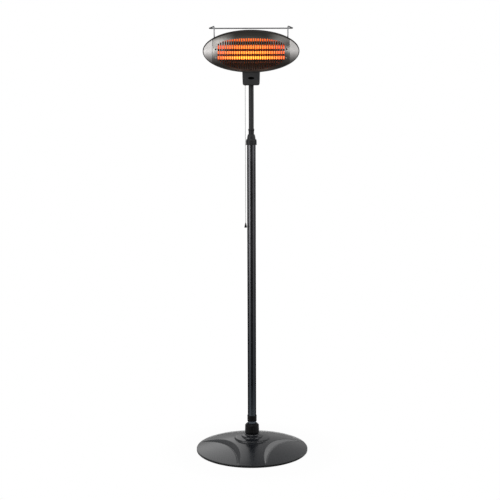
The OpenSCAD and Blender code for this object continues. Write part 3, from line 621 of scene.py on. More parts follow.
@dataclass(frozen=True)
class BraidedCord(Finish):
    """Braided polyester: light grey strands in a fine lattice."""

    strand: str = "#c2c2c2"
    gap: str = "#8a8a8a"
    braid_mm: float = 2.4

    def inputs(self, tree: Tree) -> Inputs:
        """Lay uneven bands of strands along the cord."""
        scale = 0.5 / (self.braid_mm * MM)
        wave = add_node(
            tree,
            "ShaderNodeTexWave",
            {"Vector": object_place(tree), "Scale": scale, "Distortion": 1.5, "Detail": 1.0},
            bands_direction="Z",
        ).outputs["Fac"]
        return {
            "Base Color": two_tone(tree, wave, self.gap, self.strand, (0.1, 0.7)),
            "Roughness": 0.85,
            "Sheen Weight": 0.3,
            "Normal": relief(tree, wave, 0.4, 0.4),
        }


@dataclass(frozen=True)
class FiredCeramic(Finish):
    """Fired steatite: off-white, chalky, with a faint speckle."""

    colour: str = "#e4ddce"
    speck: str = "#cbc2b0"

    def inputs(self, tree: Tree) -> Inputs:
        """Speckle the body and keep it matt."""
        specks = noise(tree, object_place(tree), 900.0, 3.0)
        return {
            "Base Color": two_tone(tree, specks, self.speck, self.colour, (0.3, 0.5)),
            "Roughness": 0.7,
            "Normal": relief(tree, specks, 0.15, 0.3),
        }


# The cover is moulded ABS with a polished skin: it mirrors the lamps softly.
COVER_GLOSS = MouldedPlastic(
    "gloss_abs", colour="#15171b", worn="#1a1c20", rough_low=0.2, rough_high=0.24, grain_mm=40.0,
    grain_depth=0.02,
)
# Glass-filled nylon, spark-eroded mould: a dull black that only shows its edges.
MATT_BLACK = MouldedPlastic(
    "matt_black_nylon", colour="#050506", worn="#09090a", rough_low=0.3, rough_high=0.4,
    grain_depth=0.05, specular=0.16,
)
# The same nylon with a satin skin on the collar: charcoal, with soft light on its ribs.
SATIN_BLACK = MouldedPlastic(
    "satin_black_nylon", colour="#242426", worn="#2a2a2c", rough_low=0.35, rough_high=0.45,
    grain_depth=0.05, specular=0.3,
)
# Black stoved enamel on the tray, rough enough to stay black beside the floor.
TRAY_ENAMEL = BakedEnamel(
    "tray_enamel", colour="#070708", lighter="#0b0b0c", roughness=0.5, specular=0.15
)
# Metallic gunmetal enamel on steel tube: near-black with soft strips of light, and painted shade that
# makes it darker and bluer at its foot.
POLE_GLOSS = BakedEnamel(
    "gunmetal_enamel", colour="#707073", lighter="#76767a", roughness=0.28, peel_mm=30.0,
    peel_depth=0.01, metallic=1.0, edge="#7c7c80", coat=0.3, foot="#50575e",
)
# Powder coat on the thin tube: an even, soft grey.
POLE_SATIN = BakedEnamel(
    "powder_coat", colour="#2c2c2d", lighter="#313132", roughness=0.5, peel_mm=6.0,
    peel_depth=0.03, specular=0.35,
)
# Sand-cast grey iron: dark, pitted and dull.
CAST_IRON = PlainMetal(
    "cast_iron", colour="#5a5a5c", darker="#37373a", rough_low=0.6, rough_high=0.8, depth=0.5
)
# Bright zinc plate on small steel parts: a cool grey with a soft shine.
ZINC_PLATE = PlainMetal("zinc_plate", colour="#c3c5c8", darker="#9b9da1", grain_mm=2.0)
# Nitrile rubber: flat black, no shine.
RUBBER = MouldedPlastic(
    "nitrile_rubber", colour="#1a1a1a", worn="#242424", rough_low=0.8, rough_high=0.95, specular=0.2
)
# Natural nylon: milky white with a waxy skin.
NATURAL_NYLON = MouldedPlastic("natural_nylon", colour="#d8d4c8", worn="#cfcabc", grain_mm=3.0)
# ABS with a fine spark-eroded texture: charcoal, satin.
BOX_PLASTIC = MouldedPlastic(
    "textured_abs", colour="#2c2c2d", worn="#313132", rough_low=0.42, rough_high=0.52, grain_mm=1.2
)
# Polished black plastic: the blank oval reads as a dark hole with a glint.
PLUG_GLOSS = MouldedPlastic(
    "polished_black", colour="#020202", worn="#040404", rough_low=0.1, rough_high=0.16,
    grain_depth=0.02, specular=0.2,
)
# Urea moulding of switches and terminals: warm white, satin.
SWITCH_PLASTIC = MouldedPlastic("urea_moulding", colour="#e4e0d6", worn="#d9d4c8", grain_mm=2.5)
# Glossy black knob: small sharp highlights.
KNOB_GLOSS = MouldedPlastic(
    "gloss_knob", colour="#0d0d0e", worn="#121213", rough_low=0.15, rough_high=0.25,
    grain_depth=0.03,
)
# Heat-proof black paint on the casing: satin with a dry look.
CASING_PAINT = BakedEnamel(
    "heatproof_paint", colour="#2f2c2a", lighter="#363330", roughness=0.38, peel_mm=3.0,
    peel_depth=0.1,
)
# Brushed steel with painted shade and reflection: pewter at the ends, nearly black in the middle.
GRILLE_STEEL = SteelWithPaintedShade("steel_with_painted_shade")
# Metallic paint on the end caps: pale and soft, with painted shade lower down.
CAP_SILVER = SilverPaint("silver_paint")
# Dark copy of the head's screws, painted dark for shade: only their rims catch light.
SCREW_PAINTED_SHADE = PlainMetal("screw_steel_painted_shade", colour="#38332d", darker="#221f1b", rough_low=0.35)
# Pale copy of the same screws, painted pale for a highlight: small bright dots.
SCREW_PAINTED_HIGHLIGHT = PlainMetal(
    "screw_steel_painted_highlight", colour="#e6e3df", darker="#cfccc8", rough_low=0.15, rough_high=0.25, depth=0.03
)
# Rolled aluminium behind the tubes, browned a little by heat: it doubles the glow in long streaks.
MIRROR_SHEET = PlainMetal(
    "rolled_aluminium", colour="#d2c6ba", darker="#bcaea0", rough_low=0.1, rough_high=0.16,
    stretch=(0.05, 1.0, 1.0), depth=0.01,
)
# Steel blackened by heat: dull and dark, it keeps the glow from spreading.
SCALED_STEEL = BakedEnamel(
    "heat_scaled_steel", colour="#1a1613", lighter="#221c18", roughness=0.6, peel_mm=3.0,
    peel_depth=0.1, specular=0.3,
)
# Bare steel on the reflector's lower flange: a dull warm grey, with the tubes' glow on it painted into
# its tone.
FLANGE_PAINTED_GLOW = BakedEnamel(
    "flange_steel_painted_glow", colour="#7d675b", lighter="#8a7367", roughness=0.6, peel_mm=3.0,
    peel_depth=0.1, specular=0.3,
)
# Galvanised sheet inside the head: grey with a mottled bloom.
GALVANISED = PlainMetal(
    "galvanised_sheet", colour="#8d8f91", darker="#6a6c6e", rough_low=0.4, rough_high=0.55,
    grain_mm=8.0,
)
# Chromed wire: dark and light streaks along its length.
CHROME_WIRE = PlainMetal(
    "chromed_wire", colour="#9b9b9d", darker="#8a8a8c", rough_low=0.12, rough_high=0.2, depth=0.02
)
# Nickel-chrome wire at about 1000 degrees: it lights itself, the lowest tube the most.
HOT_WIRES = (
    GlowingWire("nickel_chrome_wire_upper", hot="#ff7e28", cooler="#cc4a22", strength=1.45),
    GlowingWire("nickel_chrome_wire_middle", hot="#ff8628", cooler="#cc5024", strength=1.9),
    GlowingWire("nickel_chrome_wire_lower", hot="#ff9428", cooler="#cc5626", strength=2.4),
)
# Drawn quartz round the wire: a painted orange glow in the wall, with a clear skin.
QUARTZ_TUBES = (
    MilkyQuartz("drawn_quartz_upper", glow="#ff7424", ends="#c8421e", strength=1.9),
    MilkyQuartz("drawn_quartz_middle", glow="#ff7c24", ends="#cc481e", strength=2.5),
    MilkyQuartz("drawn_quartz_lower", glow="#ff8a26", ends="#d05020", strength=3.3),
)
# Steatite caps on the tubes: chalky off-white.
STEATITE = FiredCeramic("steatite")
# Polyester pull cord: light grey, dull.
CORD_BRAID = BraidedCord("braided_polyester")


class Slot(Enum):
    """The record's material slots and the finish that each one gets."""

    base_enamel = COVER_GLOSS
    black_plastic = MATT_BLACK
    black_enamel = TRAY_ENAMEL
    pole_enamel = POLE_GLOSS
    cast_iron = CAST_IRON
    steel = ZINC_PLATE
    foot_rubber = RUBBER
    nylon = NATURAL_NYLON
    box_plastic = BOX_PLASTIC
    oval_black = PLUG_GLOSS
    switch_plastic = SWITCH_PLASTIC
    cord = CORD_BRAID
    knob_plastic = KNOB_GLOSS
    casing_enamel = CASING_PAINT
    grille_steel = GRILLE_STEEL
    cap_silver = CAP_SILVER
    screw_dark = SCREW_PAINTED_SHADE
    screw_bright = SCREW_PAINTED_HIGHLIGHT
    reflector_sheet = MIRROR_SHEET
    inner_steel = GALVANISED
    quartz = QUARTZ_TUBES[0]
    coil = HOT_WIRES[0]
    ceramic = STEATITE
    guard_chrome = CHROME_WIRE


def dress(piece: Piece, finish: Finish) -> None:
    """Give a piece one finish all over.

    Args:
        piece: The object.
        finish: What it is made of.
    """
    material = material_of(finish)
    if piece.data.materials:
        for index in range(len(piece.data.materials)):
            piece.data.materials[index] = material
    else:
        piece.data.materials.append(material)


def fit(piece: Piece, body: str, slot: Slot, *nodes: str) -> None:
    """Dress a piece, let it ride on its body and stand for its CAD nodes.

    Args:
        piece: The new object.
        body: The body that it moves with.
        slot: The material slot that it is finished from.
        *nodes: The CAD nodes that it replaces.
    """
    if not piece.data.materials:
        dress(piece, slot.value)
    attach(piece, body)
    if nodes:
        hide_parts(*nodes)
    LOG.info("%s rides on %s for %s", piece.name, body, ", ".join(nodes) or "no node")


# ------------------------------------------------------------------ studio


@dataclass(frozen=True)
class Card:
    """Part of the backdrop that gloss sees brighter than the rest, with soft edges.

    Each range gives where the card starts, is full, is still full and ends: the turn in degrees
    from straight behind the heater, and the rise as the sine of the elevation.
    """

    turn: tuple[float, float, float, float]
    rise: tuple[float, float, float, float]
    level: float


@dataclass
class Studio:
    """Camera, floor, surroundings and lamps."""

    camera_at: Point = (-0.0055, -4.26, 1.439)
    tilt_deg: float = -7.09
    roll_deg: float = 0.16
    lens_mm: float = 70.06
    floor_r: float = 0.48
    floor_thick: float = 0.002
    floor_clear: float = 0.3
    floor_white: float = 0.96
    surround_low: float = 0.14
    surround_high: float = 0.52
    surround_rise: Span = (-0.4, 0.4)
    gloss_surround: float = 0.03
    cards: tuple[Card, ...] = (
        Card((-400.0, -300.0, 300.0, 400.0), (-2.0, -1.5, -0.55, -0.35), 0.1),
        Card((-400.0, -300.0, 300.0, 400.0), (0.75, 0.85, 1.5, 2.0), 0.45),
        Card((-115.0, -90.0, 90.0, 115.0), (0.05, 0.14, 0.8, 0.95), 0.5),
        Card((-27.0, -20.0, -7.0, 4.0), (0.15, 0.3, 0.82, 0.92), 1.4),
        Card((24.0, 28.0, 42.0, 50.0), (0.4, 0.48, 0.7, 0.8), 2.2),
        Card((-80.0, -65.0, 65.0, 80.0), (-0.05, 0.0, 0.1, 0.2), 0.5),
    )
    # each side's name, place, width and the level of its low, middle and high strip
    sides: tuple[tuple[str, Span, float, Point], ...] = (
        ("left", (-2.62, -1.84), 2.5, (0.4, 1.35, 3.05)),
        ("right", (2.77, -1.6), 2.9, (0.24, 0.33, 2.3)),
    )
    strips: tuple[tuple[str, Span], ...] = (
        ("low", (-1.75, 0.35)), ("middle", (0.35, 1.75)), ("high", (1.8, 2.9)),
    )

    def camera(self) -> None:
        """Set up the camera."""
        data = bpy.data.cameras.new("camera")
        data.lens = self.lens_mm
        data.sensor_width = 36.0
        data.clip_start = 0.05
        camera = place_object("camera", data)
        camera.location = self.camera_at
        camera.rotation_euler = (math.radians(90 + self.tilt_deg), math.radians(self.roll_deg), 0.0)
        bpy.context.scene.camera = camera

    def band(
        self, tree: Tree, value: Socket, ends: Sequence[float]
    ) -> Socket:
        """Pick out a range of a value, with soft ends.

        Args:
            tree: The node tree.
            value: The value.
            ends: Where the range starts, is full, is still full and ends.

        Returns:
            The socket of a number from 0 to 1.
        """
        rising = ease(tree, value, (0.0, 1.0), (ends[0], ends[1]))
        falling = ease(tree, value, (0.0, 1.0), (ends[3], ends[2]))
        return calculate(tree, "MULTIPLY", rising, falling)

    def seen(self, tree: Tree, path: bpy.types.Node) -> Socket:
        """Tell whether the eye looks here, straight or through glass."""
        rays = (path.outputs["Is Camera Ray"], path.outputs["Is Transmission Ray"])
        return calculate(tree, "MAXIMUM", *rays)

    def surroundings(self) -> None:
        """Light the room, most from above, with a white backdrop for the eye and cards for gloss."""
        world = bpy.data.worlds.new("studio")
        tree = empty_tree(world)
        path = add_node(tree, "ShaderNodeLightPath")
        coords = add_node(tree, "ShaderNodeTexCoord")
        way = add_node(tree, "ShaderNodeSeparateXYZ", {"Vector": coords.outputs["Generated"]}).outputs
        turn = calculate(tree, "DEGREES", calculate(tree, "ARCTAN2", way["X"], way["Y"]))
        mirrored: Socket | float = self.gloss_surround
        for card in self.cards:
            across, upright = self.band(tree, turn, card.turn), self.band(tree, way["Z"], card.rise)
            shape = calculate(tree, "MULTIPLY", across, upright)
            lit = calculate(tree, "MULTIPLY", shape, card.level)
            mirrored = calculate(tree, "MAXIMUM", lit, mirrored)
        glossy = path.outputs["Is Glossy Ray"]
        gloss = calculate(tree, "MULTIPLY", glossy, mirrored)
        # what is neither seen nor mirrored is the room's own light
        rest = calculate(tree, "SUBTRACT", 1.0, glossy)
        ceiling = ease(tree, way["Z"], (self.surround_low, self.surround_high), self.surround_rise)
        room = calculate(tree, "MULTIPLY", rest, ceiling)
        bright = calculate(tree, "MAXIMUM", self.seen(tree, path), gloss)
        strength = calculate(tree, "MAXIMUM", bright, room)
        background = add_node(tree, "ShaderNodeBackground", {"Color": WHITE, "Strength": strength})
        add_node(tree, "ShaderNodeOutputWorld", {"Surface": background.outputs["Background"]})
        world.cycles.sampling_method = "NONE"
        bpy.context.scene.world = world

    def floor(self) -> None:
        """Lay a white floor that keeps a faint shadow and fades into the backdrop."""
        r, below = self.floor_r, -self.floor_thick
        disc = lathe("studio_floor", [(0.0, below), (r, below), (r, 0.0), (0.0, 0.0)])
        material = bpy.data.materials.new("white_floor")
        tree = empty_tree(material)
        path = add_node(tree, "ShaderNodeLightPath")
        also = calculate(tree, "MAXIMUM", self.seen(tree, path), path.outputs["Is Glossy Ray"])
        coords = add_node(tree, "ShaderNodeTexCoord")
        away = add_node(
            tree, "ShaderNodeVectorMath", {0: coords.outputs["Object"]}, operation="LENGTH"
        )
        rim = (self.floor_clear, self.floor_r * 0.97)
        fade = ease(tree, away.outputs["Value"], (self.floor_white, 1.0), rim)
        share = calculate(tree, "MULTIPLY", also, fade)
        matt = add_node(tree, "ShaderNodeBsdfDiffuse", {"Color": hex_linear("#f2f2f2")}).outputs[0]
        white = add_node(tree, "ShaderNodeEmission", {"Color": WHITE, "Strength": 1.0}).outputs[0]
        mix = add_node(tree, "ShaderNodeMixShader", {0: share, 1: matt, 2: white})
        add_node(tree, "ShaderNodeOutputMaterial", {"Surface": mix.outputs[0]})
        disc.data.materials.append(material)

    def lamp(self, name: str, at: Point, aim: Point, size: Span, radiance: float) -> None:
        """Hang one soft box.

        Args:
            name: The lamp's name.
            at: Where it hangs.
            aim: The point that it looks at.
            size: Its width and height.
            radiance: How bright its face is, where 1 is white.
        """
        data = bpy.data.lights.new(name, "AREA")
        data.shape = "RECTANGLE"
        data.size, data.size_y = size
        data.energy = radiance * math.pi * size[0] * size[1]
        lamp = place_object(name, data)
        lamp.location = at
        lamp.rotation_euler = (Vector(aim) - Vector(at)).to_track_quat("-Z", "Y").to_euler()
        lamp.visible_camera = False
        lamp.visible_transmission = False

    def lamps(self) -> None:
        """Hang three strips above each other on both sides in front, and a soft box overhead."""
        for side, at, width, levels in self.sides:
            for (part, (low, high)), level in zip(self.strips, levels):
                z = (low + high) / 2
                self.lamp(f"strip_{side}_{part}", (*at, z), (0, 0, z), (width, high - low), level)
        self.lamp("overhead", (-0.4, -1.7, 3.5), (0, 0, 1.0), (2.6, 1.8), 1.6)

    def build(self) -> None:
        """Set up everything but the camera."""
        self.surroundings()
        self.floor()
        self.lamps()


# ------------------------------------------------------------------ pull cord


@dataclass
class PullCord:
    """Cord of the pull switch with its bell-shaped knob."""

    at: Span = (-0.0256, -0.016)
    top: float = 1.621
    foot: float = 1.031
    diameter: float = 0.0022
    knob_h: float = 0.021
    knob_d: float = 0.0115
    steps: int = 24

    def cord(self) -> Piece:
        """Draw the cord as one hanging curve.

        Returns:
            The curve.
        """
        curve = bpy.data.curves.new("hanging_cord", "CURVE")
        curve.dimensions = "3D"
        curve.bevel_depth = self.diameter / 2
        curve.bevel_resolution = 3
        curve.use_fill_caps = True
        spline = curve.splines.new("POLY")
        spline.points.add(self.steps)
        for k, point in enumerate(spline.points):
            height = self.top + (self.foot - self.top) * k / self.steps
            point.co = (self.at[0], self.at[1], height, 1.0)
        return place_object("hanging_cord", curve)

    def knob(self) -> Piece:
        """Turn the bell-shaped knob, with its neck and the hollow in its foot.

        Returns:
            The knob.
        """
        z, h, r = self.foot - self.knob_h, self.knob_h, self.knob_d / 2
        return lathe(
            "bell_knob",
            [
                (0.0, z + 1.4 * MM), (r - 1.9 * MM, z + 1.2 * MM), (r - 1.5 * MM, z + 0.1 * MM),
                (r - 1.1 * MM, z), (r - 0.4 * MM, z + 0.2 * MM), (r, z + 0.9 * MM),
                (r - 0.05 * MM, z + 2.2 * MM), (r - 0.2 * MM, z + 4 * MM), (r - 0.65 * MM, z + h * 0.33),
                (r - 1.2 * MM, z + h * 0.45), (r - 2.0 * MM, z + h * 0.6), (r - 2.7 * MM, z + h * 0.75),
                (r - 3.2 * MM, z + h * 0.86), (r - 3.3 * MM, z + h * 0.93), (r - 3.6 * MM, z + h * 0.98),
                (1.6 * MM, z + h), (0.0, z + h),
            ],
            self.at,
            48,
            50.0,
        )

    def build(self) -> None:
        cord, knob = self.cord(), self.knob()
        fit(knob, "cord", Slot.knob_plastic, "cord_knob")
        fit(cord, "cord", Slot.cord, "pull_cord")


# ------------------------------------------------------------------ base


@dataclass
class BaseCover:
    """Moulded cover of the base: a low dome with three recesses and a boss in the middle."""

    radius_mm: float = 250.0
    edge_mm: float = 9.5
    dome_edge_mm: float = 10.7
    dome_rise_mm: float = 46.0
    lens_edge_mm: float = 10.3
    lens_rise_mm: float = 35.0
    recess_near_mm: float = 100.0
    recess_chord_mm: float = 175.0
    recess_at_deg: tuple[float, ...] = (90.0, 210.0, 330.0)
    hole_mm: float = 23.3
    boss: tuple[Span, ...] = (
        (0.0, 76.5), (31.0, 76.5), (34.0, 71.5), (44.5, 68.5), (46.5, 67.0), (48.0, 62.6),
        (69.0, 61.0), (75.5, 60.0), (78.0, 57.0), (80.0, 51.0), (82.0, 40.0),
    )
    wall_mm: float = 3.0
    crease_mm: float = 1.0
    boss_crease_mm: float = 1.4
    groove_mm: float = 1.1
    groove_w: float = 1.1
    groove_end_mm: float = 244.0
    groove_fade_mm: float = 14.0
    fold_mm: float = 1.2
    segments: int = 504

    def cap(self, r: np.ndarray, edge: float, rise: float) -> np.ndarray:
        """Height of a spherical cap.

        Args:
            r: Distances from the axis.
            edge: Height at the edge.
            rise: Rise above the edge at the middle.

        Returns:
            Heights, in millimetres.
        """
        big = (self.radius_mm**2 + rise**2) / (2 * rise)
        return edge + rise - big + np.sqrt(big**2 - r**2)

    def soft_min(self, a: np.ndarray, b: np.ndarray, k: float) -> np.ndarray:
        """Lower of two heights, with a rounded crease.

        Args:
            a: One height.
            b: The other height.
            k: Height over which they blend.

        Returns:
            The blended heights.
        """
        h = np.clip(k - np.abs(a - b), 0.0, None) / k
        return np.minimum(a, b) - h * h * k / 4

    def height(self, x: np.ndarray, y: np.ndarray) -> np.ndarray:
        """Height of the cover's upper face.

        Args:
            x: Places along X, in millimetres.
            y: Places along Y, in millimetres.

        Returns:
            Heights, in millimetres.
        """
        r = np.hypot(x, y)
        top = self.cap(r, self.dome_edge_mm, self.dome_rise_mm)
        start = float(self.cap(np.array(self.recess_near_mm), self.dome_edge_mm, self.dome_rise_mm))
        slope = (start - self.edge_mm) / (self.recess_chord_mm - self.recess_near_mm)
        for angle in self.recess_at_deg:
            reach = x * math.cos(math.radians(angle)) + y * math.sin(math.radians(angle))
            wall = start - (reach - self.recess_near_mm) * slope
            top = self.soft_min(top, wall, self.crease_mm)
        lens = self.cap(r, self.lens_edge_mm, self.lens_rise_mm)
        meet = np.exp(-(((top - lens) / self.groove_w) ** 2))
        meet = meet * np.clip((self.groove_end_mm - r) / self.groove_fade_mm, 0.0, 1.0)
        top = -self.soft_min(-top, -lens, self.crease_mm * 0.3) - self.groove_mm * meet
        steps = np.array(self.boss)
        boss = np.interp(r, steps[:, 0], steps[:, 1], right=0.0)
        return -self.soft_min(-top, -boss, self.boss_crease_mm)

    def build(self) -> None:
        """Lay the upper face on rings, fold its edge down and close it below."""
        near = np.concatenate([np.linspace(self.hole_mm, 30.5, 5), np.linspace(31.2, 84.0, 50)])
        far = np.linspace(85.4, self.radius_mm - 1.6, 112)
        rim = self.radius_mm - np.array([1.0, 0.5, 0.15, 0.0])
        rings = np.concatenate([near, far, rim])
        angles = np.linspace(0, 2 * math.pi, self.segments, endpoint=False)
        rows: list[np.ndarray] = []
        for r in rings:
            x, y = r * np.cos(angles), r * np.sin(angles)
            past = max(0.0, r - self.radius_mm + self.fold_mm)
            drop = max(0.0, self.fold_mm - math.sqrt(max(0.0, self.fold_mm**2 - past**2)))
            rows.append(np.stack([x, y, self.height(x, y) - drop * 0.8], axis=1))
        edge = [self.radius_mm, self.radius_mm - self.wall_mm]
        inside = [84.0, 76.0, 50.0, 34.0, self.hole_mm]
        for index, r in enumerate(np.concatenate([edge, np.linspace(246.0, 88.0, 9), inside])):
            x, y = r * np.cos(angles), r * np.sin(angles)
            flat = index < len(edge)
            z = np.full_like(x, self.edge_mm) if flat else self.height(x, y) - self.wall_mm
            rows.append(np.stack([x, y, np.maximum(z, self.edge_mm)], axis=1))
        points = np.concatenate(rows) * MM
        n, count = self.segments, len(rows)
        faces = []
        for i in range(count):
            j = (i + 1) % count
            for k in range(n):
                m = (k + 1) % n
                faces.append((i * n + k, j * n + k, j * n + m, i * n + m))
        piece = mesh_object("moulded_cover", points, faces, 40.0)
        fit(piece, "stand", Slot.base_enamel, "base_cover")


# ------------------------------------------------------------------ head


@dataclass
class HeadFront:
    """Bulged front of the head: the slotted panel between two end caps."""

    rim_y: float = -34.0
    centre_z: float = 1769.5
    drop: float = 2.5
    width: float = 404.6
    height: float = 166.4
    bulge: float = 38.0
    sheet: float = 1.0
    cap_sheet: float = 2.0
    cap_proud: float = 0.4
    seam: float = 165.0
    slot_count: int = 29
    slot_pitch: float = 9.9
    slot_w: float = 6.0
    slot_rise: float = 51.0
    slot_fall: float = 81.0
    rise_span: float = 152.0
    fall_span: float = 161.0
    slot_power: float = 2.75
    edge_round: float = 1.4
    round_share: float = 0.8
    gap: float = 0.1
    arc_steps: int = 8
    end_steps: int = 14
    cap_steps: int = 22
    ring_steps: int = 48
    rows: tuple[int, int, int] = (10, 22, 12)

    @property
    def radius(self) -> float:
        """Radius of the bulge's round section."""
        return ((self.height / 2) ** 2 + self.bulge**2) / (2 * self.bulge)

    @property
    def centre(self) -> float:
        """Distance of the bulge's axis behind the rim."""
        return self.radius - self.bulge

    @property
    def length(self) -> float:
        """Half length of the bulge's full spheroid."""
        return self.width / 2 * self.radius / (self.height / 2)

    def slot_top(self, x: float) -> float:
        """Upper end of the slot at x, above the head's middle."""
        inner = 1 - (abs(x) / self.rise_span) ** self.slot_power
        return self.slot_rise * inner ** (1 / self.slot_power)

    def slot_low(self, x: float) -> float:
        """Lower end of the slot at x, above the head's middle."""
        return -self.slot_fall * math.sqrt(1 - (x / self.fall_span) ** 2)

    def tuck(self, inside: float) -> float:
        """How far the rounded edge falls back, at a distance inside the edge."""
        near = max(0.0, self.edge_round - inside)
        fall = self.edge_round - math.sqrt(max(0.0, self.edge_round**2 - near**2))
        return fall * self.round_share

    def section(self, x: float, proud: float = 0.0) -> float:
        """Radius of the round section at x.

        Args:
            x: Distance from the middle.
            proud: How far the form stands off the panel's.

        Returns:
            The radius.
        """
        share = 1 - (x / (self.length + proud)) ** 2
        return (self.radius + proud) * math.sqrt(max(share, 0.0))

    def on_form(self, x: float, z: float, proud: float = 0.0) -> Point:
        """Place on the bulge at x and a height above the head's middle.

        Args:
            x: Distance from the middle.
            z: Height above the head's middle.
            proud: How far the form stands off the panel's.

        Returns:
            The place, in metres.
        """
        r = self.section(x, proud)
        up = min(max(z + self.drop, -r), r)
        y = self.centre - math.sqrt(r * r - up * up)
        return x * MM, (self.rim_y + min(y, 0.0)) * MM, (self.centre_z + z) * MM

    def columns(self) -> list[tuple[float, float, float, bool]]:
        """Columns of the panel from seam to seam.

        Returns:
            For each column its x, the slot's lower and upper end there, and whether the strip
            to the next column is slotted.
        """
        half = self.slot_w / 2
        places = [(i - (self.slot_count - 1) / 2) * self.slot_pitch for i in range(self.slot_count)]
        slots = [(x, self.slot_low(x) + half, self.slot_top(x) - half) for x in places]
        inner = []
        for (x0, low, top), after in zip(slots, [*slots[1:], None]):
            for k in range(self.arc_steps + 1):
                a = math.pi * k / self.arc_steps
                dx, dz = -half * math.cos(a), half * math.sin(a)
                inner.append((x0 + dx, low - dz, top + dz, k < self.arc_steps))
            if after:
                bar = (after[0] - half) - (x0 + half)
                inner.append((x0 + half + bar / 2, (low + after[1]) / 2, (top + after[2]) / 2, False))
        first, last = inner[0], inner[-1]
        end, steps = self.seam - self.gap, self.end_steps
        left = [(x, first[1], first[2], False) for x in np.linspace(-end, first[0], steps)[:-1]]
        right = [(x, last[1], last[2], False) for x in np.linspace(last[0], end, steps)[1:]]
        tucked = [self.edge_round * s for s in (0.12, 0.4, 0.75)]
        edge_l = [(-end + t, first[1], first[2], False) for t in tucked]
        edge_r = [(end - t, last[1], last[2], False) for t in reversed(tucked)]
        return [left[0], *edge_l, *left[1:], *inner, *right[:-1], *edge_r, right[-1]]

    def panel(self) -> Piece:
        """Press the slotted panel, with its ends tucked in at the seams.

        Returns:
            The panel.
        """
        columns = self.columns()
        rows_low, rows_mid, rows_top = self.rows
        points: list[Point] = []
        end = self.seam - self.gap
        for x, low, top, _ in columns:
            r = self.section(x)
            half = math.sqrt(max(r * r - self.centre**2, 0.0))
            foot, head = -self.drop - half, -self.drop + half
            heights = [
                *np.linspace(foot, low, rows_low + 1)[:-1],
                *np.linspace(low, top, rows_mid + 1)[:-1],
                *np.linspace(top, head, rows_top + 1),
            ]
            tuck = self.tuck(end - abs(x)) * MM
            for z in heights:
                px, py, pz = self.on_form(x, float(z))
                points.append((px, min(py + tuck, self.rim_y * MM), pz))
        per = rows_low + rows_mid + rows_top + 1
        faces = []
        for c, column in enumerate(columns[:-1]):
            for row in range(per - 1):
                if column[3] and rows_low <= row < rows_low + rows_mid:
                    continue
                a, b = c * per + row, (c + 1) * per + row
                faces.append((a, b, b + 1, a + 1))
        piece = mesh_object("slotted_panel", points, faces)
        for finish in (GRILLE_STEEL, SCALED_STEEL):
            piece.data.materials.append(material_of(finish))
        thicken(piece, self.sheet, 40.0, 1)
        return piece

    def end_cap(self, side: int) -> Piece:
        """Press one end cap, with its edge rounded over at the seam.

        Args:
            side: -1 for the left cap, 1 for the right one.

        Returns:
            The cap.
        """
        proud, steps, around = self.cap_proud, self.cap_steps, self.ring_steps
        tip = (self.length + proud) * math.sqrt(1 - (self.centre / (self.radius + proud)) ** 2)
        stations = [self.seam + self.edge_round * s for s in (0.0, 0.12, 0.4, 0.75)]
        start = stations[-1] + 0.8
        stations += [start + (tip - start) * math.sin(math.pi / 2 * k / steps) for k in range(steps + 1)]
        points: list[Point] = []
        rings: list[list[int]] = []
        for x in stations:
            r = self.section(x, proud)
            spread = math.acos(min(self.centre / r, 1.0)) if r > self.centre else 0.0
            tuck = self.tuck(x - self.seam)
            if spread < 1e-3:
                rings.append([len(points)] * (around + 1))
                points.append((side * x * MM, self.rim_y * MM, (self.centre_z - self.drop) * MM))
                continue
            rings.append(list(range(len(points), len(points) + around + 1)))
            for k in range(around + 1):
                a = spread * (2 * k / around - 1)
                y = min(self.centre - r * math.cos(a) + tuck, 0.0)
                z = -self.drop + r * math.sin(a)
                points.append((side * x * MM, (self.rim_y + y) * MM, (self.centre_z + z) * MM))
        faces: list[list[int]] = []
        for near, far in zip(rings, rings[1:]):
            for k in range(around):
                corners = [near[k], far[k], far[k + 1], near[k + 1]]
                add_face(faces, corners[::-1] if side < 0 else corners)
        name = "end_cap_skin_left" if side < 0 else "end_cap_skin_right"
        piece = mesh_object(name, points, faces)
        thicken(piece, self.cap_sheet, 50.0)
        return piece

    def build(self) -> None:
        """Make the panel and its two caps."""
        fit(self.panel(), "head", Slot.grille_steel, "front_panel")
        fit(self.end_cap(-1), "head", Slot.cap_silver, "end_cap_left")
        fit(self.end_cap(1), "head", Slot.cap_silver, "end_cap_right")


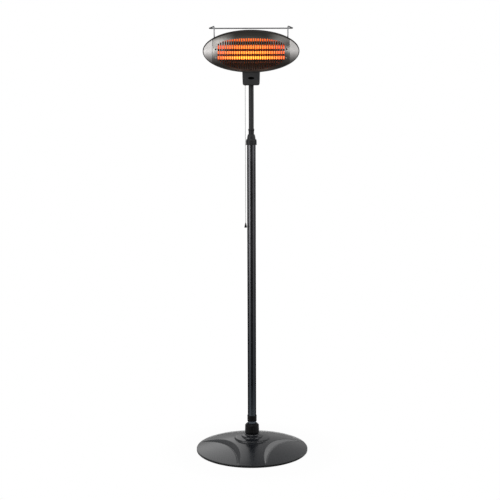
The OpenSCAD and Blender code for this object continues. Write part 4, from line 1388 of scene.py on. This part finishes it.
@dataclass
class Reflector:
    """Folded sheet behind the tubes: a sloping flange, a flat back and a dull lower flange."""

    form: HeadFront = field(default_factory=HeadFront)
    half_length: float = 143.6
    sheet: float = 0.5
    step: float = 2.4
    clear: float = 5.0
    casing: Span = (203.0, 86.0)
    fold: tuple[Span, ...] = (
        (-51.8, 1828.9), (-9.2, 1797.4), (-7.1, 1795.4), (-6.2, 1792.6), (-6.0, 1790.0),
        (-6.0, 1736.2), (-5.6, 1734.8), (-4.4, 1734.1), (16.0, 1733.6), (18.0, 1732.0),
        (20.0, 1722.0),
    )
    dull_from: int = 8
    wave: float = 0.5
    wave_mm: float = 70.0
    rows: int = 9

    def reach(self, x: float) -> float:
        """Share of the flange that stays clear of the panel and the casing at x."""
        (y1, z1), (y0, z0) = self.fold[0], self.fold[1]
        share = 1.0
        while share > 0.2:
            y, z = y0 + (y1 - y0) * share, z0 + (z1 - z0) * share
            front = self.form.on_form(x, z - self.form.centre_z)[1] / MM
            roof = self.casing[1] * math.sqrt(1 - (x / self.casing[0]) ** 2)
            if y > front + self.clear and z < self.form.centre_z + roof:
                break
            share -= 0.01
        return share

    def build(self) -> None:
        """Fold the sheet along its length, trim its flange and give it its thickness."""
        count = max(2, round(2 * self.half_length / self.step))
        rows = self.rows
        points: list[Point] = []
        faces: list[tuple[int, ...]] = []
        for i in range(count + 1):
            x = -self.half_length + 2 * self.half_length * i / count
            (y1, z1), (y0, z0) = self.fold[0], self.fold[1]
            top = self.reach(x)
            for k in range(rows):
                share = top * (1 - k / rows)
                swell = self.wave * share * math.cos(2 * math.pi * x / self.wave_mm)
                points.append(
                    (x * MM, (y0 + (y1 - y0) * share + swell) * MM, (z0 + (z1 - z0) * share) * MM)
                )
            points += [(x * MM, y * MM, z * MM) for y, z in self.fold[1:]]
        per = rows + len(self.fold) - 1
        for i in range(count):
            for k in range(per - 1):
                a, b = i * per + k, (i + 1) * per + k
                faces.append((a, a + 1, b + 1, b))
        piece = mesh_object("folded_reflector", points, faces, 60.0)
        # the lower flange's tone has the tubes' glow painted into it
        for finish in (MIRROR_SHEET, FLANGE_PAINTED_GLOW):
            piece.data.materials.append(material_of(finish))
        for face in piece.data.polygons:
            face.material_index = int(face.index % (per - 1) >= rows + self.dull_from - 2)
        thicken(piece, self.sheet, 60.0)
        fit(piece, "head", Slot.reflector_sheet, "reflector")


@dataclass
class HeatingCoils:
    """Wound resistance wire inside the three quartz tubes."""

    y: float = -0.028
    heights: tuple[float, ...] = (1.785, 1.763, 1.741)
    half_length: float = 0.158
    coil_r: float = 0.0031
    wire_r: float = 0.0006
    pitch: float = 0.0026

    def winding(self) -> Tree:
        """Build the tree that winds a wire along X.

        Returns:
            The tree, with its sizes as named inputs.
        """
        tree = bpy.data.node_groups.new("wound_wire", "GeometryNodeTree")
        face = tree.interface
        for name, kind in (
            ("Turns", "NodeSocketFloat"),
            ("Coil radius", "NodeSocketFloat"),
            ("Wire radius", "NodeSocketFloat"),
            ("Length", "NodeSocketFloat"),
            ("Middle", "NodeSocketVector"),
            ("Finish", "NodeSocketMaterial"),
        ):
            face.new_socket(name, in_out="INPUT", socket_type=kind)
        face.new_socket("Geometry", in_out="OUTPUT", socket_type="NodeSocketGeometry")
        given = add_node(tree, "NodeGroupInput")
        out = given.outputs
        spiral = add_node(
            tree,
            "GeometryNodeCurveSpiral",
            {
                "Resolution": 14,
                "Rotations": out["Turns"],
                "Start Radius": out["Coil radius"],
                "End Radius": out["Coil radius"],
                "Height": out["Length"],
            },
        )
        section = add_node(
            tree, "GeometryNodeCurvePrimitiveCircle", {"Resolution": 6, "Radius": out["Wire radius"]}
        )
        wire = add_node(
            tree,
            "GeometryNodeCurveToMesh",
            {"Curve": spiral.outputs[0], "Profile Curve": section.outputs[0], "Fill Caps": True},
        )
        half = calculate(tree, "MULTIPLY", out["Length"], -0.5)
        back = add_node(tree, "ShaderNodeCombineXYZ", {"X": half})
        shift = add_node(
            tree, "ShaderNodeVectorMath", {0: out["Middle"], 1: back.outputs[0]}, operation="ADD"
        )
        placed = add_node(
            tree,
            "GeometryNodeTransform",
            {
                "Geometry": wire.outputs[0],
                "Translation": shift.outputs[0],
                "Rotation": (0.0, math.pi / 2, 0.0),
            },
        )
        real = add_node(tree, "GeometryNodeRealizeInstances", {"Geometry": placed.outputs[0]})
        finished = add_node(
            tree,
            "GeometryNodeSetMaterial",
            {"Geometry": real.outputs[0], "Material": out["Finish"]},
        )
        add_node(tree, "NodeGroupOutput", {0: finished.outputs[0]})
        return tree

    def build(self) -> None:
        """Wind one coil for each tube."""
        tree = self.winding()
        ids = {item.name: item.identifier for item in tree.interface.items_tree}
        for number, z in enumerate(self.heights, start=1):
            piece = mesh_object(f"wound_coil_{number}", [], [])
            winding = piece.modifiers.new("winding", "NODES")
            winding.node_group = tree
            for given, value in (
                ("Turns", 2 * self.half_length / self.pitch),
                ("Coil radius", self.coil_r - self.wire_r),
                ("Wire radius", self.wire_r),
                ("Length", 2 * self.half_length),
                ("Middle", (0.0, self.y, z)),
                ("Finish", material_of(HOT_WIRES[number - 1])),
            ):
                winding[ids[given]] = value
            apply_modifiers(piece)
            piece.data.shade_smooth()
            fit(piece, "head", Slot.coil, f"heating_coil_{number}")


# ------------------------------------------------------------------ carried-over nodes


# Nodes whose finish differs from their slot's
OWN_FINISH: dict[str, Finish] = {
    "upper_pole": POLE_SATIN,
    "collar_body": SATIN_BLACK,
    "lock_ring": SATIN_BLACK,
    "quartz_tube_2": QUARTZ_TUBES[1],
    "quartz_tube_3": QUARTZ_TUBES[2],
}


def dress_nodes(frame: dict) -> None:
    """Give every CAD node the finish of its slot, or its own where OWN_FINISH lists one.

    Args:
        frame: The loaded frame.
    """
    slots = {part["node"]: part["material_slot"] for part in frame["record"]["subparts"]}
    for name, node in frame["nodes"].items():
        finish = OWN_FINISH.get(name, Slot[slots[name]].value)
        dress(node, finish)
    LOG.info("%d nodes dressed", len(frame["nodes"]))


def main() -> None:
    """Build the scene round the frame."""
    logging.basicConfig(level=logging.INFO, format="%(message)s")
    bpy.ops.wm.read_factory_settings(use_empty=True)
    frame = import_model()
    studio = Studio()
    studio.camera()
    PullCord().build()
    dress_nodes(frame)
    studio.build()
    BaseCover().build()
    HeadFront().build()
    Reflector().build()
    HeatingCoils().build()
    bpy.context.scene.view_settings.view_transform = "Standard"
    LOG.info("sizes written")


if __name__ == "__main__":
    main()
